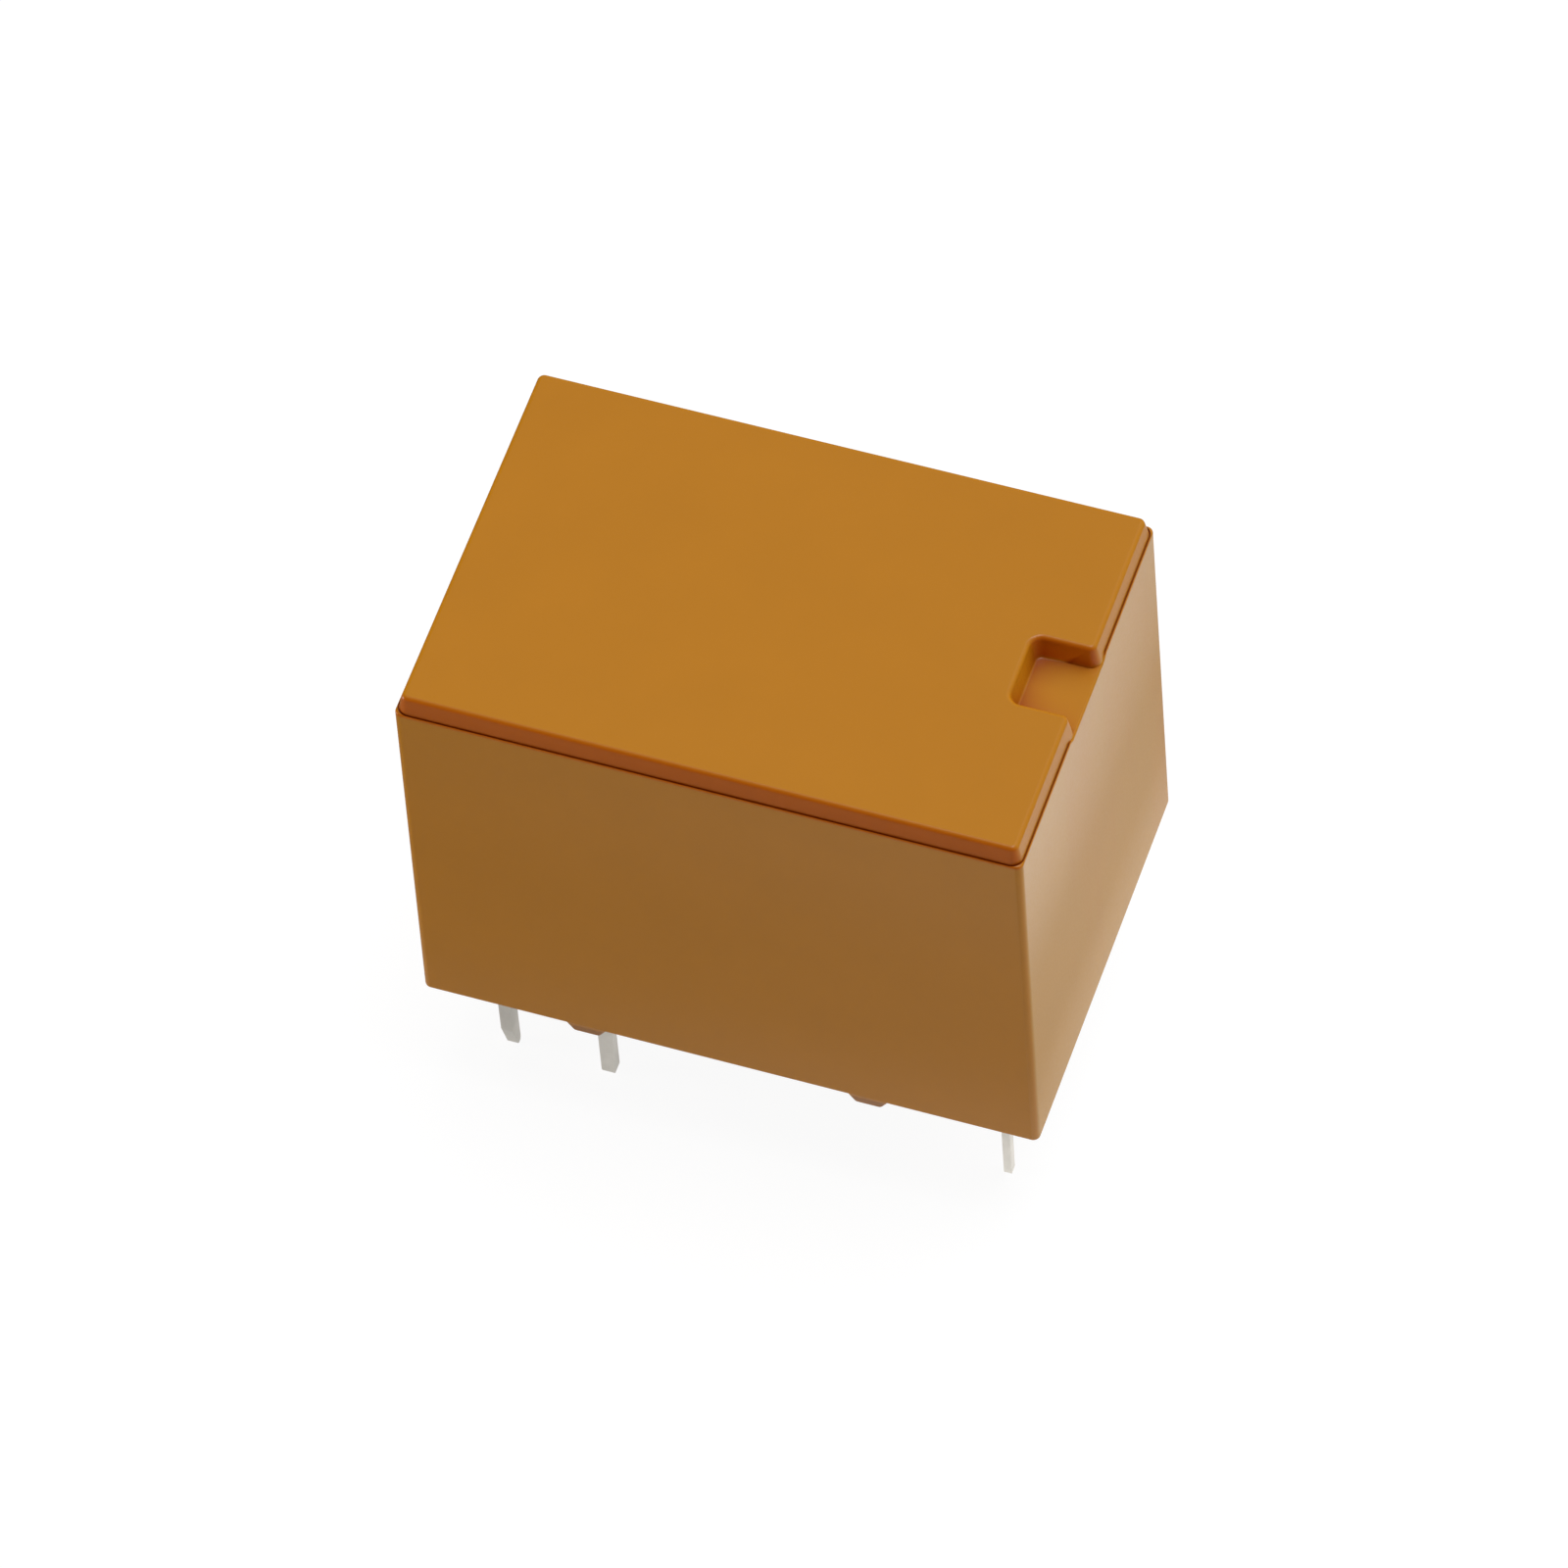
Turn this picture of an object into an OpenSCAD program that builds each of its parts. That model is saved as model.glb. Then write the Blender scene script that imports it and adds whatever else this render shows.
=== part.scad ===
// Miniature sealed relay for a printed circuit board, with one changeover contact.
// Millimetres. +X runs along the case towards the contacts, -Y is the front, +Z is up.
// The origin is the middle of the board's surface under the relay, where the feet stand.

/* [Case] */
// Length of the case at its rim
case_l = 15.5; // [15.4:0.05:16]
// Width of the case at its rim
case_w = 10.4; // [10.4:0.05:11]
// Height from the board to the top panel
case_h = 12; // [12:0.1:13]
// How far each end wall leans in on its way up
draft_l = 0.09; // [0:0.01:0.15]
// How far each long wall leans in on its way up
draft_w = 0.13; // [0:0.01:0.15]
// Radius of the upright corners
corner_r = 0.25; // [0.15:0.05:0.5]
// Radius of the rounded rim
rim_r = 0.1; // [0.05:0.01:0.15]
// Height of the feet under the rim
foot_h = 0.3; // [0.2:0.05:0.5]
// Length of a foot along the rim
foot_l = 1; // [0.6:0.1:1.5]
// Feet centres, from the middle of the case
foot_x = 3.55; // [3:0.05:5]

/* [Top panel] */
// Height of the raised panel above the ledge
panel_h = 0.5; // [0.3:0.05:0.6]
// Width of the ledge round the panel
ledge_w = 0.06; // [0.05:0.01:0.12]
// Radius of the ledge's outer edge
ledge_edge_r = 0.06; // [0.04:0.01:0.1]
// How far the panel's sides lean in above the ledge
panel_lean = 0.1; // [0:0.01:0.1]
// Radius of the panel's corners at its foot, seen from above
panel_r = 0.4; // [0.3:0.05:0.8]
// Radius of the panel's upper edge
panel_edge_r = 0.12; // [0.06:0.01:0.14]
// Length of the notch at the ledge's height, in from the panel's end
notch_l = 1.5; // [1:0.1:2]
// Width of the notch at the ledge's height
notch_w = 1.75; // [1.4:0.05:2.2]
// How far the notch's floor lies below the ledge
notch_drop = 0.12; // [0:0.02:0.2]

/* [Pins] */
// Length of the pins below the board's surface
pin_l = 3.5; // [2.5:0.1:4]
// Pitch of the board grid
pitch = 2.54; // [2.5:0.01:2.54]
// Distance between the two rows of pins
row_w = 7.62; // [7.5:0.01:7.62]
// How far the pin pattern lies from the middle of the case, towards the contacts
grid_x = 0.1; // [0:0.05:0.15]

/* [Mechanism] */
// How far the released armature stands open, in degrees
open_angle = 2.2; // [1.8:0.1:2.3]
// Thickness of the soft iron of the yoke and the armature
iron_t = 0.8; // [0.7:0.05:0.8]
// Height of the yoke's upper edge, where the armature rocks
hinge_z = 8.5; // [8.4:0.05:8.5]
// Thickness of the moving leaf spring
leaf_t = 0.15; // [0.1:0.01:0.15]
// Thickness of the fixed contact arms
arm_t = 0.2; // [0.15:0.05:0.2]
// Diameter of the contact rivets
contact_d = 1.6; // [1.4:0.1:1.7]
// Radius of the coil winding
coil_r = 3.45; // [3:0.05:3.45]

/* [Hidden] */
$fn = 64;
thin = 0.01;
rim_z = foot_h;
ledge_z = case_h - panel_h;
panel_l = case_l - 2 * (draft_l + ledge_w);
panel_w = case_w - 2 * (draft_w + ledge_w);
notch_in_r = 0.2;
notch_mouth_r = 0.25;
groove_w = 0.04;
groove_d = 0.06;

// inside of the cover: the cavity, and the wider mouth that holds the base and the resin
cavity_l = 14.24;
cavity_w = 9.1;
cavity_r = 0.4;
ceiling_z = 11.35;
mouth_l = 14.4;
mouth_w = 9.3;
boss_z = 10.8;
boss_l = 2;
boss_w = 3.2;

// base and resin
base_bottom_z = 0.9;
base_z = 1.9;
base_gap = 0.03;
resin_z = 0.62;
barrier_x = 2.6;
barrier_t = 0.5;
barrier_top_z = 7.9;
post_z = 4;
post_in = 0.5;
post_out = 0.45;

// pin pattern
common_x = grid_x - 2.5 * pitch;
coil_pin_x = common_x + pitch;
contact_pin_x = common_x + 5 * pitch;
row_y = row_w / 2;
common_t = 0.3;
common_pin_w = 0.45;
coil_pin_t = 0.36;
coil_pin_w = 0.3;
contact_t = 0.2;
contact_pin_w = 0.25;

// yoke and coil
common_in_x = common_x + common_t / 2;
hinge_x = common_in_x;
yoke_in_x = hinge_x + iron_t;
yoke_w = 6.8;
yoke_in_r = 0.2;
ear_w = 0.55;
ear_h = 0.5;
foot_plate_w = 6.6;
foot_plate_end_r = 2.2;
foot_plate_z = base_z + iron_t;
core_x = -1.6;
spigot_r = 1.1;
core_r = 1.25;
bobbin_bore_r = 1.3;
bobbin_tube_r = 1.75;
flange_t = 0.5;
flange_gap = 0.05;
flange_end_x = 2.1;
flange_w = 8.6;
flange_r = 0.5;
pole_z = hinge_z - 0.01;
pole_t = 0.4;
pole_r = 2.7;
coil_bottom_z = foot_plate_z + flange_t;
bobbin_top_z = pole_z - pole_t;
coil_top_z = bobbin_top_z - flange_t;
tape_t = 0.08;
lug_l = 1;
lug_w = 0.9;
lug_h = 0.3;
wire_post_top_z = coil_bottom_z + 1.5;
solder_r = 0.36;
solder_z = coil_bottom_z + lug_h;
solder_h = 0.85;
lead_r = 0.06;
lead_z = solder_z + 0.4;

// armature and leaf spring, measured from the hinge line
armature_x0 = 0.02;
armature_x1 = 7.6;
armature_w = 6.4;
armature_neck_w = yoke_w - 2 * ear_w - 0.2;
armature_neck_l = 1;
armature_r = 0.6;
leaf_bend_r = 0.35;
leaf_w = 4.4;
leaf_neck_w = 2;
leaf_neck_x = 9.3;
leaf_x1 = 12.1;
leaf_leg_w = 1.2;
leaf_bottom_z = 5.3;
leaf_strap_z = 7;
rivet_r = 0.45;
rivet_head_r = 0.65;
rivet_head_t = 0.13;
armature_rivet_x = 3.6;
armature_rivet_y = 1.2;
yoke_rivet_y = 1.4;
yoke_rivet_z = 6.2;
common_top_z = 7.3;
common_bar_z = 2.1;
common_bar_top_z = 3.4;

// contacts
contact_x = 5;
contact_reach = contact_x - hinge_x;
contact_r = contact_d / 2;
shank_r = 0.4;
head_t = 0.25;
dome_r = 3.2;
contact_gap = 0.02;
blade_x0 = contact_pin_x - contact_t / 2;
blade_in_y = 2.4;
blade_out_y = 4.1;
arm_x0 = contact_x - 0.9;
moving_under_z = iron_t - head_t;
moving_over_z = iron_t + leaf_t + head_t;
no_face_z = hinge_z + moving_under_z - contact_gap;
nc_face_z = hinge_z + contact_reach * sin(open_angle) + (moving_over_z - dome_r) * cos(open_angle)
          + dome_r + contact_gap;
fixed_head_t = 0.3;
no_arm_z = no_face_z - fixed_head_t - arm_t;
nc_arm_z = nc_face_z + fixed_head_t;

// A rectangle with round corners, centred on the origin.
module rounded_plan(l, w, r) {
    square([l - 2 * r, w], center = true);
    square([l, w - 2 * r], center = true);
    for (x = [-1, 1], y = [-1, 1])
        translate([x * (l / 2 - r), y * (w / 2 - r)])
            circle(r);
}

// Lifts an outline in the X-Z plane to its true place and gives it a width along Y.
module across(w) {
    rotate([90, 0, 0])
        linear_extrude(w, center = true)
            children();
}

// Lifts an outline in the Y-Z plane to its true place, from x0 on for a length l.
module along(x0, l) {
    translate([x0, 0, 0])
        rotate([90, 0, 90])
            linear_extrude(l)
                children();
}

// Places parts drawn from the hinge line, in the plane of the closed armature.
module on_armature() {
    translate([hinge_x, 0, hinge_z])
        rotate([0, -open_angle, 0])
            children();
}

// One thin level of the case, leaned in by its height and drawn in by an inset.
module case_level(z, inset) {
    lean = max(0, (z - rim_z - rim_r) / (ledge_z - rim_z - rim_r));
    r = corner_r - inset;
    for (x = [-1, 1], y = [-1, 1])
        translate([
            x * (case_l / 2 - draft_l * lean - inset - r),
            y * (case_w / 2 - draft_w * lean - inset - r),
            z
        ])
            cylinder(r = r, h = thin, $fn = 32);
}

module case_body() {
    hull() {
        for (a = [0 : 30 : 90]) {
            case_level(rim_z + rim_r * (1 - sin(a)), rim_r * (1 - cos(a)));
            case_level(ledge_z - thin - ledge_edge_r * (1 - sin(a)), ledge_edge_r * (1 - cos(a)));
        }
    }
}

// Points along an arc from the angle a0 to a1, with the centre and the radius given.
function arc(centre, r, a0, a1) = [
    for (i = [0 : 6]) centre + r * [cos(a0 + (a1 - a0) * i / 6), sin(a0 + (a1 - a0) * i / 6)]
];

// The panel's outline with its notch, at the ledge's height, drawn in by an inset.
function panel_outline(inset) =
    let (
        end_x = panel_l / 2 - panel_r,
        side_y = panel_w / 2 - panel_r,
        mouth_x = panel_l / 2 - notch_mouth_r,
        mouth_y = notch_w / 2 + notch_mouth_r,
        in_x = panel_l / 2 - notch_l + notch_in_r,
        in_y = notch_w / 2 - notch_in_r,
        corner = panel_r - inset,
        mouth = notch_mouth_r - inset,
        inner = notch_in_r + inset
    )
    concat(
        arc([end_x, -side_y], corner, -90, 0),
        arc([mouth_x, -mouth_y], mouth, 0, 90),
        arc([in_x, -in_y], inner, 270, 180),
        arc([in_x, in_y], inner, 180, 90),
        arc([mouth_x, mouth_y], mouth, 270, 360),
        arc([end_x, side_y], corner, 0, 90),
        arc([-end_x, side_y], corner, 90, 180),
        arc([-end_x, -side_y], corner, 180, 270)
    );

// The raised panel is lofted through its outline at rising heights: sides that lean in, then the
// round upper edge. Its foot is sunk into the case.
module panel() {
    sunk = 0.1;
    levels = [
        [ledge_z - notch_drop - sunk, 0],
        for (a = [0 : 22.5 : 90]) [case_h - panel_edge_r * (1 - sin(a)), panel_edge_r * (1 - cos(a))]
    ];
    loops = [
        for (v = levels)
            let (lean = panel_lean * (v[0] - ledge_z) / panel_h)
                [for (q = panel_outline(v[1] + lean)) [q.x, q.y, v[0]]]
    ];
    n = len(loops[0]);
    top = len(loops) - 1;
    polyhedron(
        [for (loop = loops, q = loop) q],
        concat(
            [[for (i = [0 : n - 1]) i]],
            [[for (i = [n - 1 : -1 : 0]) top * n + i]],
            [for (k = [0 : top - 1], i = [0 : n - 1])
                let (j = (i + 1) % n)
                    [k * n + i, (k + 1) * n + i, (k + 1) * n + j, k * n + j]]
        )
    );
}

// The pit in which the panel stands, which leaves a groove at its foot, and the notch's floor below
// the ledge. Both run in under the panel's sides.
module panel_foot_cuts() {
    under = 0.05;
    mouth_w = notch_w + 2 * notch_mouth_r;
    translate([0, 0, ledge_z - groove_d])
        linear_extrude(panel_h)
            rounded_plan(panel_l + 2 * groove_w, panel_w + 2 * groove_w, panel_r + groove_w);
    translate([0, 0, ledge_z - notch_drop])
        linear_extrude(panel_h)
            difference() {
                translate([panel_l / 2 - notch_l - 2 * under, -mouth_w / 2])
                    square([2 * notch_l, mouth_w]);
                polygon(panel_outline(under));
            }
}

// Four feet stand on the rim of the long walls, each with sloping ends.
module feet() {
    foot_t = 0.45;
    setback = 0.05;
    slope = 0.25;
    for (x = [-1, 1], y = [-1, 1])
        translate([x * foot_x, y * (case_w / 2 - setback - foot_t / 2), 0])
            across(foot_t)
                polygon([
                    [-foot_l / 2, foot_h + rim_r],
                    [-foot_l / 2, foot_h],
                    [slope - foot_l / 2, 0],
                    [foot_l / 2 - slope, 0],
                    [foot_l / 2, foot_h],
                    [foot_l / 2, foot_h + rim_r]
                ]);
}

module cover() {
    color([0.73, 0.47, 0.12]) {
        difference() {
            union() {
                difference() {
                    case_body();
                    panel_foot_cuts();
                }
                panel();
                feet();
            }
            difference() {
                linear_extrude(ceiling_z)
                    rounded_plan(cavity_l, cavity_w, cavity_r);
                translate([cavity_l / 2 - boss_l, -boss_w / 2, boss_z])
                    cube([boss_l, boss_w, case_h - boss_z]);
            }
            linear_extrude(base_z)
                rounded_plan(mouth_l, mouth_w, cavity_r);
        }
    }
}

// Every pin's section, from z0 on for a height h, for the slots that the pins pass through.
module pin_slots(z0, h) {
    for (y = [-row_y, row_y])
        translate([0, y, z0 + h / 2]) {
            translate([common_x, 0, 0])
                cube([common_t, common_pin_w, h], center = true);
            translate([coil_pin_x, 0, 0])
                cube([coil_pin_t, coil_pin_w, h], center = true);
            translate([contact_pin_x, 0, 0])
                cube([contact_t, contact_pin_w, h], center = true);
        }
}

// A post with a slot for a contact blade, on the side of the given sign.
module blade_post(side) {
    l = post_in + contact_t + post_out;
    w = blade_out_y - blade_in_y + 0.5;
    y_mid = side * (blade_in_y + blade_out_y) / 2;
    translate([blade_x0 - post_in, y_mid - w / 2, base_z])
        difference() {
            cube([l, w, post_z - base_z]);
            translate([post_in, 0.25, 0])
                cube([contact_t, w - 0.5, post_z]);
        }
}

module base() {
    cheek_l = 1.4;
    cheek_w = 0.6;
    color([0.16, 0.15, 0.14]) {
        difference() {
            translate([0, 0, base_bottom_z])
                linear_extrude(base_z - base_bottom_z)
                    rounded_plan(mouth_l - 2 * base_gap, mouth_w - 2 * base_gap, cavity_r);
            pin_slots(0, base_z + 1);
        }
        // the barrier between the coil and the contacts, with a sloping upper edge
        translate([barrier_x, 0, base_z])
            across(flange_w)
                polygon([
                    [0, 0],
                    [barrier_t, 0],
                    [barrier_t, barrier_top_z - base_z - barrier_t / 2],
                    [barrier_t / 2, barrier_top_z - base_z],
                    [0, barrier_top_z - base_z]
                ]);
        // cheeks that hold the yoke's foot plate in place
        for (y = [-1, 1])
            translate([core_x - cheek_l / 2, y * (foot_plate_w + cheek_w) / 2, base_z])
                translate([0, -cheek_w / 2, 0])
                    cube([cheek_l, cheek_w, iron_t - 0.1]);
        blade_post(-1);
        blade_post(1);
    }
}

module sealing_resin() {
    color([0.1, 0.1, 0.1])
        difference() {
            translate([0, 0, resin_z])
                linear_extrude(base_bottom_z - resin_z)
                    rounded_plan(mouth_l, mouth_w, cavity_r);
            pin_slots(0, base_z);
        }
}

// A flange of the bobbin at height z, from x0 near the yoke to the contact end.
module flange(z, x0) {
    translate([(x0 + flange_end_x) / 2, 0, z])
        linear_extrude(flange_t)
            rounded_plan(flange_end_x - x0, flange_w, flange_r);
}

module bobbin() {
    color([0.93, 0.92, 0.88])
        difference() {
            union() {
                flange(foot_plate_z, yoke_in_x + yoke_in_r);
                flange(coil_top_z, yoke_in_x + flange_gap);
                translate([core_x, 0, foot_plate_z])
                    cylinder(r = bobbin_tube_r, h = bobbin_top_z - foot_plate_z);
                for (y = [-row_y, row_y])
                    translate([coil_pin_x, y, coil_bottom_z + lug_h / 2])
                        cube([lug_l, lug_w, lug_h], center = true);
            }
            translate([core_x, 0, 0])
                cylinder(r = bobbin_bore_r, h = case_h);
            pin_slots(foot_plate_z - 1, 3);
        }
}

// The bare end of the winding's wire, from under the outer turns to the coil pin on one side.
module lead(side) {
    dx = coil_pin_x - core_x;
    translate([core_x, 0, lead_z])
        rotate([0, 90, atan2(side * row_y, dx)])
            translate([0, 0, coil_r - 0.3])
                cylinder(r = lead_r, h = norm([dx, row_y]) - coil_r + 0.3 - coil_pin_t / 2 - 0.05);
}

module coil_winding() {
    color([0.72, 0.38, 0.2]) {
        translate([core_x, 0, coil_bottom_z])
            difference() {
                cylinder(r = coil_r, h = coil_top_z - coil_bottom_z);
                translate([0, 0, -1])
                    cylinder(r = bobbin_tube_r, h = case_h);
            }
        lead(-1);
        lead(1);
    }
}

module coil_tape() {
    tape_z0 = lead_z + 0.25;
    color([0.85, 0.75, 0.35])
        translate([core_x, 0, tape_z0])
            difference() {
                cylinder(r = coil_r + tape_t, h = coil_top_z - 0.1 - tape_z0);
                translate([0, 0, -1])
                    cylinder(r = coil_r, h = case_h);
            }
}

// The core is turned in one piece: spigot, shank and wide pole face.
module core() {
    chamfer = 0.08;
    color([0.66, 0.66, 0.68])
        translate([core_x, 0, 0])
            rotate_extrude()
                polygon([
                    [0, base_z],
                    [spigot_r, base_z],
                    [spigot_r, foot_plate_z],
                    [core_r, foot_plate_z],
                    [core_r, bobbin_top_z],
                    [pole_r, bobbin_top_z],
                    [pole_r, pole_z - chamfer],
                    [pole_r - chamfer, pole_z],
                    [0, pole_z]
                ]);
}

// The yoke is one bent strip: an upright plate, a round bend and a foot plate under the coil.
module yoke_strip() {
    bend_r = iron_t + yoke_in_r;
    intersection() {
        union() {
            translate([hinge_x, -yoke_w / 2, base_z + bend_r])
                cube([iron_t, yoke_w, hinge_z + ear_h - base_z - bend_r]);
            translate([hinge_x + bend_r, -yoke_w / 2, base_z])
                cube([case_l, yoke_w, iron_t]);
            translate([hinge_x + bend_r, 0, base_z + bend_r])
                rotate([90, 0, 0])
                    intersection() {
                        difference() {
                            cylinder(r = bend_r, h = yoke_w, center = true);
                            cylinder(r = bend_r - iron_t, h = case_l, center = true);
                        }
                        translate([-case_l, -case_l, -case_l / 2])
                            cube(case_l);
                    }
        }
        linear_extrude(case_h) {
            translate([hinge_x, -yoke_w / 2])
                square([iron_t + 0.3, yoke_w]);
            translate([hinge_x, -foot_plate_w / 2])
                square([core_x - hinge_x - foot_plate_end_r, foot_plate_w]);
            translate([hinge_x, -foot_plate_end_r])
                square([core_x - hinge_x, 2 * foot_plate_end_r]);
            translate([core_x, 0])
                circle(foot_plate_end_r);
        }
    }
}

module yoke() {
    color([0.62, 0.63, 0.66]) {
        difference() {
            yoke_strip();
            // the rocking edge lies between two ears
            translate([hinge_x - 1, ear_w - yoke_w / 2, hinge_z])
                cube([iron_t + 2, yoke_w - 2 * ear_w, 2 * ear_h]);
            translate([core_x, 0, 0])
                cylinder(r = spigot_r, h = case_h);
        }
        // two rivets drawn from the plate hold the common terminal and the leaf spring
        for (y = [-yoke_rivet_y, yoke_rivet_y])
            translate([hinge_x, y, yoke_rivet_z])
                rotate([0, -90, 0]) {
                    cylinder(r = rivet_r, h = common_t + leaf_t);
                    translate([0, 0, common_t + leaf_t])
                        cylinder(r1 = rivet_head_r, r2 = rivet_r, h = rivet_head_t);
                }
    }
}

// One plate with both pins: a bar under the coil's end and a tab riveted behind the yoke.
// Each leg is cut back on its outer side towards the tip.
module common_terminal() {
    tip_l = 0.9;
    tip_w = 0.18;
    nip = 0.04;
    tab_w = 4.8;
    leg_in = row_y - common_pin_w / 2;
    leg_out = row_y + common_pin_w / 2;
    half = [
        [tab_w / 2, common_top_z],
        [tab_w / 2, common_bar_top_z],
        [leg_out, common_bar_top_z],
        [leg_out, tip_l - pin_l],
        [leg_in + tip_w, -pin_l],
        [leg_in + nip, -pin_l],
        [leg_in, 3 * nip - pin_l],
        [leg_in, common_bar_z]
    ];
    color([0.8, 0.79, 0.76])
        difference() {
            along(common_x - common_t / 2, common_t)
                polygon(concat(half, [for (i = [len(half) - 1 : -1 : 0]) [-half[i].x, half[i].y]]));
            for (y = [-yoke_rivet_y, yoke_rivet_y])
                translate([hinge_x - 1, y, yoke_rivet_z])
                    rotate([0, 90, 0])
                        cylinder(r = rivet_r, h = 2);
        }
}

// The outline of a pin with a round tip, from its tip up to z1.
module round_tip(w, z1, r) {
    translate([-w / 2, r - pin_l])
        square([w, z1 + pin_l - r]);
    translate([r - w / 2, -pin_l])
        square([w - 2 * r, r]);
    for (x = [-1, 1])
        translate([x * (w / 2 - r), r - pin_l])
            circle(r, $fn = 32);
}

module coil_terminal(side) {
    color([0.8, 0.79, 0.76])
        intersection() {
            translate([coil_pin_x, side * row_y, 0])
                across(coil_pin_w)
                    round_tip(coil_pin_t, wire_post_top_z, 0.15);
            translate([0, side * row_y, 0])
                along(coil_pin_x - coil_pin_t / 2, coil_pin_t)
                    round_tip(coil_pin_w, wire_post_top_z, 0.12);
        }
}

module coil_solder(side) {
    color([0.78, 0.78, 0.8])
        difference() {
            translate([coil_pin_x, side * row_y, solder_z])
                rotate_extrude()
                    polygon([
                        [0, 0],
                        for (a = [-60 : 20 : 80]) [solder_r * cos(a), solder_h / 2 * (1 + sin(a) / sin(80))],
                        [0, solder_h]
                    ]);
            pin_slots(0, case_h);
            lead(side);
        }
}

module armature() {
    color([0.62, 0.63, 0.66])
        on_armature() {
            linear_extrude(iron_t) {
                translate([armature_x0, -armature_neck_w / 2])
                    square([armature_neck_l + armature_r, armature_neck_w]);
                translate([armature_neck_l + (armature_x1 - armature_neck_l) / 2, 0])
                    rounded_plan(armature_x1 - armature_neck_l, armature_w, armature_r);
            }
            // two rivets drawn from the plate hold the leaf spring
            for (y = [-armature_rivet_y, armature_rivet_y])
                translate([armature_rivet_x, y, iron_t]) {
                    cylinder(r = rivet_r, h = leaf_t);
                    translate([0, 0, leaf_t])
                        cylinder(r1 = rivet_head_r, r2 = rivet_r, h = rivet_head_t);
                }
        }
}

// A point s along the released armature and h above it, from the hinge line, in X and Z.
function leaf_at(s, h) = [
    s * cos(open_angle) - h * sin(open_angle),
    s * sin(open_angle) + h * cos(open_angle)
];

// The leaf from the side: flat on the armature, round over the yoke's edge and down its back.
module leaf_side() {
    back_x = -common_t - leaf_t / 2;
    mid_h = iron_t + leaf_t / 2;
    bend_x = back_x + leaf_bend_r;
    bend_s = (bend_x + (mid_h - leaf_bend_r) * sin(open_angle)) / cos(open_angle);
    bend_at = leaf_at(bend_s, mid_h - leaf_bend_r);
    outer_r = leaf_bend_r + leaf_t / 2;
    inner_r = leaf_bend_r - leaf_t / 2;
    a0 = 90 + open_angle;
    polygon([
        leaf_at(leaf_x1, iron_t),
        leaf_at(leaf_x1, iron_t + leaf_t),
        for (i = [0 : 8]) bend_at + outer_r * [cos(a0 + i * (180 - a0) / 8), sin(a0 + i * (180 - a0) / 8)],
        [back_x - leaf_t / 2, leaf_bottom_z - hinge_z],
        [back_x + leaf_t / 2, leaf_bottom_z - hinge_z],
        for (i = [8 : -1 : 0]) bend_at + inner_r * [cos(a0 + i * (180 - a0) / 8), sin(a0 + i * (180 - a0) / 8)]
    ]);
}

module moving_spring() {
    wide_l = leaf_neck_x - 0.6;
    color([0.82, 0.55, 0.3])
        difference() {
            translate([hinge_x, 0, hinge_z])
                across(leaf_w)
                    leaf_side();
            // the free end narrows to the contact, and ends in a round
            on_armature()
                difference() {
                    translate([wide_l, -leaf_w, 0])
                        cube([leaf_x1, 2 * leaf_w, 2]);
                    linear_extrude(2) {
                        translate([wide_l, 0])
                            polygon([
                                [0, -leaf_w / 2], [0.6, -leaf_neck_w / 2],
                                [0.6, leaf_neck_w / 2], [0, leaf_w / 2]
                            ]);
                        translate([leaf_neck_x, -leaf_neck_w / 2])
                            square([leaf_x1 - leaf_neck_w / 2 - leaf_neck_x, leaf_neck_w]);
                        translate([leaf_x1 - leaf_neck_w / 2, 0])
                            circle(leaf_neck_w / 2);
                    }
                }
            // a window over the hinge leaves two soft legs
            on_armature()
                translate([-2, -leaf_w / 2 + leaf_leg_w, 0])
                    cube([3.2, leaf_w - 2 * leaf_leg_w, 2]);
            translate([hinge_x - 1, -leaf_w / 2 + leaf_leg_w, leaf_strap_z])
                cube([1, leaf_w - 2 * leaf_leg_w, 2]);
            on_armature() {
                for (y = [-armature_rivet_y, armature_rivet_y])
                    translate([armature_rivet_x, y, 0])
                        cylinder(r = rivet_r, h = 2);
                translate([contact_reach, 0, 0])
                    cylinder(r = shank_r, h = 2);
            }
            for (y = [-yoke_rivet_y, yoke_rivet_y])
                translate([hinge_x - 1, y, yoke_rivet_z])
                    rotate([0, 90, 0])
                        cylinder(r = rivet_r, h = 2);
        }
}

// The outline of a domed rivet head above a face at z = 0.
function dome_outline(t) = [
    [0, 0],
    [contact_r, 0],
    for (i = [4 : -1 : 0]) [contact_r * i / 4, t - dome_r + sqrt(pow(dome_r, 2) - pow(contact_r * i / 4, 2))]
];

module moving_contact() {
    color([0.86, 0.86, 0.85])
        on_armature()
            translate([contact_reach, 0, iron_t]) {
                cylinder(r = shank_r, h = leaf_t);
                translate([0, 0, leaf_t])
                    rotate_extrude()
                        polygon(dome_outline(head_t));
                mirror([0, 0, 1])
                    rotate_extrude()
                        polygon(dome_outline(head_t));
            }
}

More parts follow.
